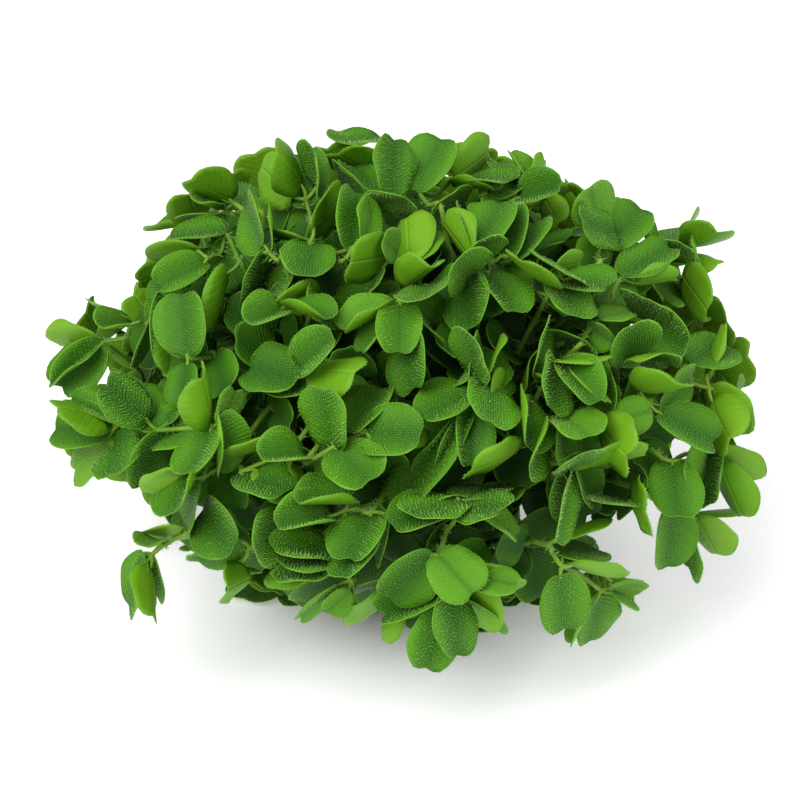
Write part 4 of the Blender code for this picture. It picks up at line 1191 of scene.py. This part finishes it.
def side_shoots(routes, leaves, occupied):
    """Short shoots into the bald places: for each sprig where they start, end and what they bear.

    They keep within the outline that the clump has to the eye of the picture.
    """
    laid = list(occupied.taken)
    middles = [leaf.point(LEAF_MIDDLE, 0) for grown in leaves.values() for leaf, _ in grown]
    joints = [(joint, name) for name, route in routes.items() for joint in route[1:]]
    shoots = {name: [] for name in routes}
    for depth, facing, share in SHOOT_LAYERS:
        for count, (direction, _) in enumerate(spread_directions(SHOOT_POINTS)):
            place = mound_point(direction, depth)
            if mound_outward(place).dot(FORWARD) < facing or place.z < SHOOT_LOWEST:
                continue
            if min((middle - place).length for middle in middles) < SHOOT_REACH:
                continue
            joint, name = min(joints, key=lambda named: (named[0] - place).length)
            if (place - joint).length > SHOOT_LONGEST:
                continue
            if not all(lined_up(joint.lerp(place, part), laid) for part in STEM_SPOTS):
                continue
            grown = shoot_leaves(name, count, joint, place, laid, occupied)
            if grown:
                shoots[name].append((joint, place, share, grown))
                middles += [leaf.point(LEAF_MIDDLE, 0) for leaf in grown]
    return shoots


@functools.lru_cache(maxsize=None)
def clump():
    """The layout of the whole clump and its side shoots, worked out once."""
    routes, nodes, leaves, loose, occupied = laid_out_clump()
    return routes, nodes, leaves, loose, side_shoots(routes, leaves, occupied), occupied


class Material:
    """A material that grows by its nodes."""

    def __init__(self, name):
        self.material = bpy.data.materials.new(name)
        self.material.use_nodes = True
        self.tree = self.material.node_tree
        self.surface = self.tree.nodes["Principled BSDF"]

    def node(self, kind, *values, **settings):
        """Adds a node: its settings, then values or links for its first sockets."""
        node = self.tree.nodes.new(f"ShaderNode{kind}")
        for key, value in settings.items():
            setattr(node, key, value)
        for socket, value in zip(node.inputs, values):
            self.connect(socket, value)
        return node

    def connect(self, socket, value):
        """Links what makes the value to a socket, or sets the socket to it."""
        if isinstance(value, Term):
            value = value.socket
        if isinstance(value, bpy.types.NodeSocket):
            self.tree.links.new(value, socket)
        else:
            socket.default_value = value

    def term(self, socket):
        return Term(self, socket)

    def maths(self, operation, *values):
        """A Math node on values or terms."""
        return self.term(self.node("Math", *values, operation=operation).outputs[0])

    def vector_maths(self, operation, *values):
        """What a Vector Math node makes of vectors."""
        outputs = self.node("VectorMath", *values, operation=operation).outputs
        return self.term(outputs["Value"]) if operation == "LENGTH" else outputs["Vector"]

    def attribute(self, name):
        return self.term(self.node("Attribute", attribute_name=name).outputs["Fac"])

    def place(self):
        """The place in the clump."""
        return self.node("TexCoord").outputs["Object"]

    def mix(self, factor, first, second):
        """A colour between two others."""
        mixed = self.node("Mix", data_type="RGBA", clamp_factor=True)
        self.connect(mixed.inputs["Factor"], factor)
        self.connect(mixed.inputs[FIRST_COLOUR], first)
        self.connect(mixed.inputs[SECOND_COLOUR], second)
        return mixed.outputs[2]

    def finish(self, colour, roughness, height=None, depth=0.0):
        """Gives the surface its colour, its roughness and a relief of a depth in metres."""
        self.surface.inputs["Specular IOR Level"].default_value = LEAF_GLOSS
        self.connect(self.surface.inputs["Base Color"], colour)
        self.connect(self.surface.inputs["Roughness"], roughness)
        if height is not None:
            bump = self.node("Bump")
            for name, value in (("Height", height), ("Strength", RELIEF), ("Distance", depth)):
                self.connect(bump.inputs[name], value)
            self.connect(self.surface.inputs["Normal"], bump.outputs["Normal"])
        return self.material


class Term:
    """A number in a material, which Python's operators extend by Math nodes."""

    def __init__(self, maker, socket):
        self.maker, self.socket = maker, socket

    def __add__(self, other):
        return self.maker.maths("ADD", self, other)

    def __radd__(self, other):
        return self.maker.maths("ADD", other, self)

    def __sub__(self, other):
        return self.maker.maths("SUBTRACT", self, other)

    def __rsub__(self, other):
        return self.maker.maths("SUBTRACT", other, self)

    def __mul__(self, other):
        return self.maker.maths("MULTIPLY", self, other)

    def __rmul__(self, other):
        return self.maker.maths("MULTIPLY", other, self)

    def __abs__(self):
        return self.maker.maths("ABSOLUTE", self)

    def cosine(self):
        return self.maker.maths("COSINE", self)

    def between(self, low, high):
        """0 below low, 1 above high, and smooth between them."""
        bounds = (self, low, high, 0.0, 1.0)
        node = self.maker.node("MapRange", *bounds, interpolation_type="SMOOTHSTEP")
        return self.maker.term(node.outputs[0])


def leaf_across_along(maker):
    """Millimetres across from the midrib and along from the blade's middle, on the round blade."""
    leaf_map = maker.node("UVMap", uv_map="leaf")
    parts = maker.node("SeparateXYZ", leaf_map.outputs[0]).outputs
    width = 2000 * ROUND_RADIUS
    return (maker.term(parts[0]) - 0.5) * width, (maker.term(parts[1]) - 0.5) * width


def patches(maker, scale):
    """Soft noise over the piece, from its place in the clump."""
    noise = maker.node("TexNoise")
    for name, value in (("Vector", maker.place()), ("Scale", scale), ("Detail", NOISE_DETAIL)):
        maker.connect(noise.inputs[name], value)
    return maker.term(noise.outputs[0])


def heart_shade(maker):
    """1 in the heart of the clump, where painted shade darkens the green, and 0 outside."""
    offset = maker.vector_maths("SUBTRACT", maker.place(), CLUMP_CENTRE)
    share = maker.vector_maths("DIVIDE", offset, CLUMP_RADII)
    return 1 - maker.vector_maths("LENGTH", share).between(*PAINTED_SHADE_EDGES)


def upper_face_material(colours):
    """Green with rows of pale pores, a sunken midrib and a pale thin rim, with painted shade that darkens
    the valley of the fold along the midrib.

    The numbers in the sums and mixes here and below are shares.
    """
    maker = Material("upper_leaf_face")
    across, along = leaf_across_along(maker)
    out = abs(across)
    along = along + patches(maker, ROW_SCALE) * ROW_WANDER
    row = (along - out * (ROW_BEND / math.tan(ROW_ANGLE))) * (math.tau / (1000 * ROW_SPACING))
    step = out * (math.tau / (1000 * HAIR_SPACING * math.sin(ROW_ANGLE)))
    pores = ((0.5 + 0.5 * row.cosine()) * (0.5 - 0.5 * step.cosine())).between(*PORE_EDGES)
    midrib = 1 - out.between(0.0, UPPER_MIDRIB)
    rim = maker.attribute("rim").between(*UPPER_RIM_EDGES)
    tint = maker.attribute("tint")
    young = maker.attribute("young")
    mottle = patches(maker, UPPER_MOTTLE_SCALE)
    cells = patches(maker, CELL_SCALE)

    # Painted shade: the green is darker near the midrib, in the valley of the fold, and lighter out toward
    # the edges, with tint and mottle as random tone
    lightness = out.between(*VALLEY_SHADE_FROM_TO) * 0.6 + tint * 0.35 + mottle * 0.1
    green = maker.mix(lightness, colours.deep_green, colours.fresh_green)
    green = maker.mix(young * 0.6, green, colours.young_green)
    # Painted shade along the midrib, with the leaf's cells as random tone
    green = maker.mix(midrib * 0.4 + cells * 0.25, green, colours.deep_green)
    # Painted shade: deep in the clump the upper face darkens toward the painted shade green
    green = maker.mix(heart_shade(maker) * 0.8, green, colours.painted_shade_green)
    green = maker.mix(pores * 0.3, green, colours.pore_green)
    green = maker.mix(rim * 0.5, green, colours.rim_green)
    height = pores * 0.6 + row.cosine() * 0.12 + mottle * 0.5 + cells * 0.15 - midrib * 0.4
    return maker.finish(green, 0.46 + mottle * 0.16, height, UPPER_DEPTH)


def under_face_material(colours):
    """Smooth yellow-green with a raised midrib and faint side veins."""
    maker = Material("under_leaf_face")
    across, along = leaf_across_along(maker)
    out = abs(across)
    veins = ((along - out * VEIN_SLANT) * (math.tau / VEIN_SPACING)).cosine().between(*VEIN_EDGES)
    midrib = 1 - out.between(0.0, UNDER_MIDRIB)
    rim = maker.attribute("rim").between(*UNDER_RIM_EDGES)
    mottle = patches(maker, UNDER_MOTTLE_SCALE)
    cells = patches(maker, CELL_SCALE)
    lightness = maker.attribute("tint") * 0.6 + mottle * 0.4
    green = maker.mix(lightness, colours.under_deep, colours.under_green)
    # Painted shade: deep in the clump the under face darkens as well
    green = maker.mix(heart_shade(maker) * 0.7, green, colours.painted_shade_green)
    green = maker.mix(midrib * 0.5 + veins * 0.12 + cells * 0.12, green, colours.rim_green)
    green = maker.mix(rim * 0.35, green, colours.rim_green)
    height = midrib * 1.2 + veins * 0.3 + mottle * 0.4 + cells * 0.15
    return maker.finish(green, 0.38 + mottle * 0.15, height, UNDER_DEPTH)


def stem_material(colours):
    """Pale yellow-green, streaked and finely uneven."""
    maker = Material("stem")
    fine, broad = patches(maker, STEM_FINE_SCALE), patches(maker, STEM_BROAD_SCALE)
    green = maker.mix(broad.between(*STREAK_EDGES), colours.stem_deep, colours.stem_green)
    green = maker.mix(fine * 0.3, green, colours.rim_green)
    # Painted shade darkens the stems deep in the clump
    green = maker.mix(heart_shade(maker) * 0.7, green, colours.painted_shade_green)
    return maker.finish(green, 0.45 + fine * 0.15, fine, STEM_DEPTH)


def hair_material(colours):
    """Whitish hairs, a little greener here and there."""
    maker = Material("hair")
    shade = patches(maker, HAIR_SCALE)
    white = maker.mix(shade, colours.hair_green, colours.hair_white)
    # Painted shade darkens the hairs deep in the clump
    white = maker.mix(heart_shade(maker) * 0.7, white, colours.painted_shade_green)
    return maker.finish(white, 0.5 + shade * 0.1)


def floor_material(colours):
    """Even pale studio paper with the faintest grain, and painted light that glows from it away from the
    clump's middle and lightens the shadows there.
    """
    maker = Material("studio_floor")
    grain = patches(maker, PAPER_SCALE)
    darker = [part * 0.98 for part in colours.floor[:3]] + [1.0]
    # Painted light: the floor glows outside the clump's footprint, which lightens its shadows
    clear = maker.vector_maths("LENGTH", maker.place()).between(*FLOOR_PAINTED_LIGHT_EDGES)
    painted_floor_light = maker.mix(clear, (0, 0, 0, 1), (1, 1, 1, 1))
    maker.connect(maker.surface.inputs["Emission Color"], painted_floor_light)
    maker.surface.inputs["Emission Strength"].default_value = FLOOR_PAINTED_LIGHT
    return maker.finish(maker.mix(grain, darker, colours.floor), 0.85 + grain * 0.05)


@functools.lru_cache(maxsize=None)
def plant_materials():
    """The four materials of every piece, in the order of UPPER, UNDER, HAIR and STEM."""
    colours = bpy.context.scene.spangle_colours
    makers = (upper_face_material, under_face_material, hair_material, stem_material)
    return [make(colours) for make in makers]


def build_sprig(name):
    """One sprig: its stem and leaves, its side shoots, and small leaves along its inner run."""
    routes, nodes, leaves, loose, shoots, occupied = clump()
    sizes = bpy.context.scene.spangle_sizes
    sprig = Sprig(name)
    route = routes[name]
    sprig.add_stem(sagging_route(route), sizes.stem_radius, sizes.stem_hairs)
    inner = smooth_path(route[:len(route) - len(nodes[name]) + 1], SHADE_PATH_STEPS)
    shade = shade_leaves(name, inner, sprig.chance, occupied)
    for leaf, node in leaves[name] + loose[name]:
        young = 1.0 if leaf.length < YOUNG_BELOW * LEAF_LENGTH else 0.0
        sprig.add_leaf(leaf, node, FULL_HAIRS, young)
    for joint, place, share, grown in shoots[name]:
        inward = mound_outward(place) * -SHOOT_BOW * (place - joint).length
        path = [joint, (joint + place) / 2 + inward, place]
        sprig.add_stem(path, sizes.petiole_radius, SHOOT_HAIRS)
        for leaf in grown:
            sprig.add_leaf(leaf, place, share)
    for leaf, node in shade:
        sprig.add_leaf(leaf, node, NO_HAIRS)
    sprig.finish("leaf", name)


def build_sprigs(names):
    for name in names:
        build_sprig(name)
    return {"FINISHED"}


def length_property(name, description, default, least, most):
    return FloatProperty(
        name=name, description=description, default=default, min=least, max=most,
        unit="LENGTH", precision=6,
    )


class SpangleSizes(bpy.types.PropertyGroup):
    """Sizes of the fine parts of the clump."""

    blade_thickness: length_property("Blade thickness", "Of a fine leaf", 0.00018, 0.0001, 0.001)
    hair_length: length_property("Hair length", "On a leaf's upper face", 0.00048, 0.0001, 0.002)
    hair_radius: length_property("Hair radius", "At a hair's root", 0.000085, 0.00002, 0.0003)
    stem_radius: length_property("Stem radius", "Where a stem starts", 0.0006, 0.0003, 0.001)
    petiole_radius: length_property("Petiole radius", "Of a leaf's stalk", 0.00042, 0.0002, 0.001)
    stem_hair_length: length_property("Stem hair length", "On a stem", 0.0008, 0.0001, 0.002)
    stem_hairs: IntProperty(
        name="Stem hairs", description="Number of hairs on each stem", default=90, min=0, max=400,
    )


def colour_property(name, description, default):
    return FloatVectorProperty(
        name=name, description=description, subtype="COLOR", size=4, min=0.0, max=1.0,
        default=(*default, 1.0),
    )


class SpangleColours(bpy.types.PropertyGroup):
    """Colours of the clump and of the floor."""

    deep_green: colour_property("Deep green", "Darkest of the upper faces", (0.016, 0.092, 0.002))
    fresh_green: colour_property("Fresh green", "Lightest of the upper faces", (0.080, 0.262, 0.004))
    young_green: colour_property("Young green", "Green of young leaves", (0.125, 0.350, 0.010))
    pore_green: colour_property("Pore green", "Pale spots between the hairs", (0.170, 0.360, 0.050))
    rim_green: colour_property("Rim green", "The thin rim of a leaf", (0.170, 0.400, 0.025))
    under_green: colour_property("Under green", "Lightest of the under faces", (0.150, 0.325, 0.010))
    under_deep: colour_property("Under deep", "Darkest of the under faces", (0.080, 0.240, 0.005))
    # Painted shade: the dark green that leaves, stems and hairs take on deep in the clump
    painted_shade_green: colour_property("Heart green", "Old leaves in the heart", (0.006, 0.040, 0.001))
    hair_green: colour_property("Hair green", "Greener hairs", (0.170, 0.330, 0.080))
    hair_white: colour_property("Hair white", "Whiter hairs", (0.370, 0.540, 0.180))
    stem_green: colour_property("Stem green", "Lightest green of the stems", (0.200, 0.330, 0.035))
    stem_deep: colour_property("Stem deep", "Darkest green of the stems", (0.085, 0.200, 0.012))
    floor: colour_property("Floor", "The studio floor", (0.930, 0.930, 0.930))


class SpangleStage(bpy.types.PropertyGroup):
    """The floor, the lights and the camera."""

    floor_width: FloatProperty(
        name="Floor width", description="Width of the square floor",
        default=6.0, min=1.0, unit="LENGTH",
    )
    lens: FloatProperty(
        name="Lens", description="Focal length of the camera on a sensor 36 mm wide",
        default=100.0, min=20.0, max=300.0, unit="CAMERA",
    )
    key_power: FloatProperty(
        name="Key light", description="Power of the large soft light above the front left",
        default=9.8, min=0.0, unit="POWER",
    )
    fill_power: FloatProperty(
        name="Fill light", description="Power of the soft light on the right",
        default=3.0, min=0.0, unit="POWER",
    )
    sky: FloatProperty(
        name="Even light", description="Strength of the white light from all round",
        default=0.45, min=0.0,
    )


class SPANGLES_OT_add_near_sprigs(bpy.types.Operator):
    """Adds the sprigs of the near side, laid out as listed"""

    bl_idname = "spangles.add_near_sprigs"
    bl_label = "Add near sprigs"

    def execute(self, context):
        return build_sprigs(NEAR_SPRIGS)


class SPANGLES_OT_add_far_sprigs(bpy.types.Operator):
    """Adds the sprigs wound over the far side"""

    bl_idname = "spangles.add_far_sprigs"
    bl_label = "Add far sprigs"

    def execute(self, context):
        return build_sprigs(far_nodes())


class SPANGLES_OT_add_under_sprigs(bpy.types.Operator):
    """Adds the sprigs pressed flat under the clump"""

    bl_idname = "spangles.add_under_sprigs"
    bl_label = "Add under sprigs"

    def execute(self, context):
        return build_sprigs(under_nodes())


class SPANGLES_OT_add_runners(bpy.types.Operator):
    """Adds the older stems in the heart, with their small shaded leaves"""

    bl_idname = "spangles.add_runners"
    bl_label = "Add runners"

    def execute(self, context):
        occupied = clump()[-1]
        for name, ring in runner_rings().items():
            runner = Sprig(name)
            runner.add_stem(ring, RUNNER_RADIUS, context.scene.spangle_sizes.stem_hairs)
            for leaf, node in shade_leaves(name, ring, runner.chance, occupied):
                runner.add_leaf(leaf, node, NO_HAIRS)
            runner.finish("runner", name)
        return {"FINISHED"}


class SPANGLES_OT_set_stage(bpy.types.Operator):
    """Adds the pale floor, the soft lights and the camera of the picture"""

    bl_idname = "spangles.set_stage"
    bl_label = "Set stage"

    def execute(self, context):
        stage = context.scene.spangle_stage
        shape = bmesh.new()
        bmesh.ops.create_grid(shape, x_segments=2, y_segments=2, size=stage.floor_width / 2)
        mesh = bpy.data.meshes.new("studio_floor")
        shape.to_mesh(mesh)
        shape.free()
        mesh.materials.append(floor_material(context.scene.spangle_colours))
        floor = linked("studio_floor", mesh)

        add_light("key_light", *KEY_LIGHT, stage.key_power)
        add_light("fill_light", *FILL_LIGHT, stage.fill_power)
        world = bpy.data.worlds.new("even_light")
        world.use_nodes = True
        background = world.node_tree.nodes["Background"]
        background.inputs["Color"].default_value = (1, 1, 1, 1)
        background.inputs["Strength"].default_value = stage.sky
        context.scene.world = world
        context.scene.view_settings.view_transform = "Standard"

        lens = bpy.data.cameras.new("picture_camera")
        lens.lens = stage.lens
        lens.sensor_width = SENSOR_WIDTH
        lens.clip_start, lens.clip_end = CAMERA_RANGE
        camera = linked("picture_camera", lens)
        camera.location = EYE
        camera.rotation_euler = FORWARD.to_track_quat("-Z", "Y").to_euler()
        context.scene.camera = camera
        return {"FINISHED"}


def add_light(name, place, size, power):
    """A square soft light that looks at the clump's middle."""
    light = bpy.data.lights.new(name, "AREA")
    light.size = size
    light.energy = power
    lamp = linked(name, light)
    lamp.location = place
    lamp.rotation_euler = (CLUMP_CENTRE - place).to_track_quat("-Z", "Y").to_euler()


class SPANGLES_PT_panel(bpy.types.Panel):
    """Lists the operators of the clump with their sizes and colours."""

    bl_label = "Water spangles"
    bl_idname = "SPANGLES_PT_panel"
    bl_space_type = "VIEW_3D"
    bl_region_type = "UI"
    bl_category = "Water spangles"

    def draw(self, context):
        for operator in OPERATORS:
            self.layout.operator(operator.bl_idname)
        for group_name in GROUPS:
            group = getattr(context.scene, group_name)
            box = self.layout.box()
            for name in group.bl_rna.properties.keys():
                if name not in ("rna_type", "name"):
                    box.prop(group, name)


OPERATORS = (
    SPANGLES_OT_add_near_sprigs, SPANGLES_OT_add_far_sprigs, SPANGLES_OT_add_under_sprigs,
    SPANGLES_OT_add_runners, SPANGLES_OT_set_stage,
)
GROUPS = {
    "spangle_sizes": SpangleSizes, "spangle_colours": SpangleColours, "spangle_stage": SpangleStage,
}
CLASSES = (*GROUPS.values(), *OPERATORS, SPANGLES_PT_panel)


def register():
    for kind in CLASSES:
        bpy.utils.register_class(kind)
    for name, group in GROUPS.items():
        setattr(bpy.types.Scene, name, PointerProperty(type=group))


def unregister():
    for name in GROUPS:
        delattr(bpy.types.Scene, name)
    for kind in reversed(CLASSES):
        bpy.utils.unregister_class(kind)


def main():
    """Builds the clump and its stage."""
    register()
    bpy.ops.spangles.add_runners()
    bpy.ops.spangles.add_near_sprigs()
    bpy.ops.spangles.add_far_sprigs()
    bpy.ops.spangles.add_under_sprigs()
    bpy.ops.spangles.set_stage()


if __name__ == "__main__":
    main()
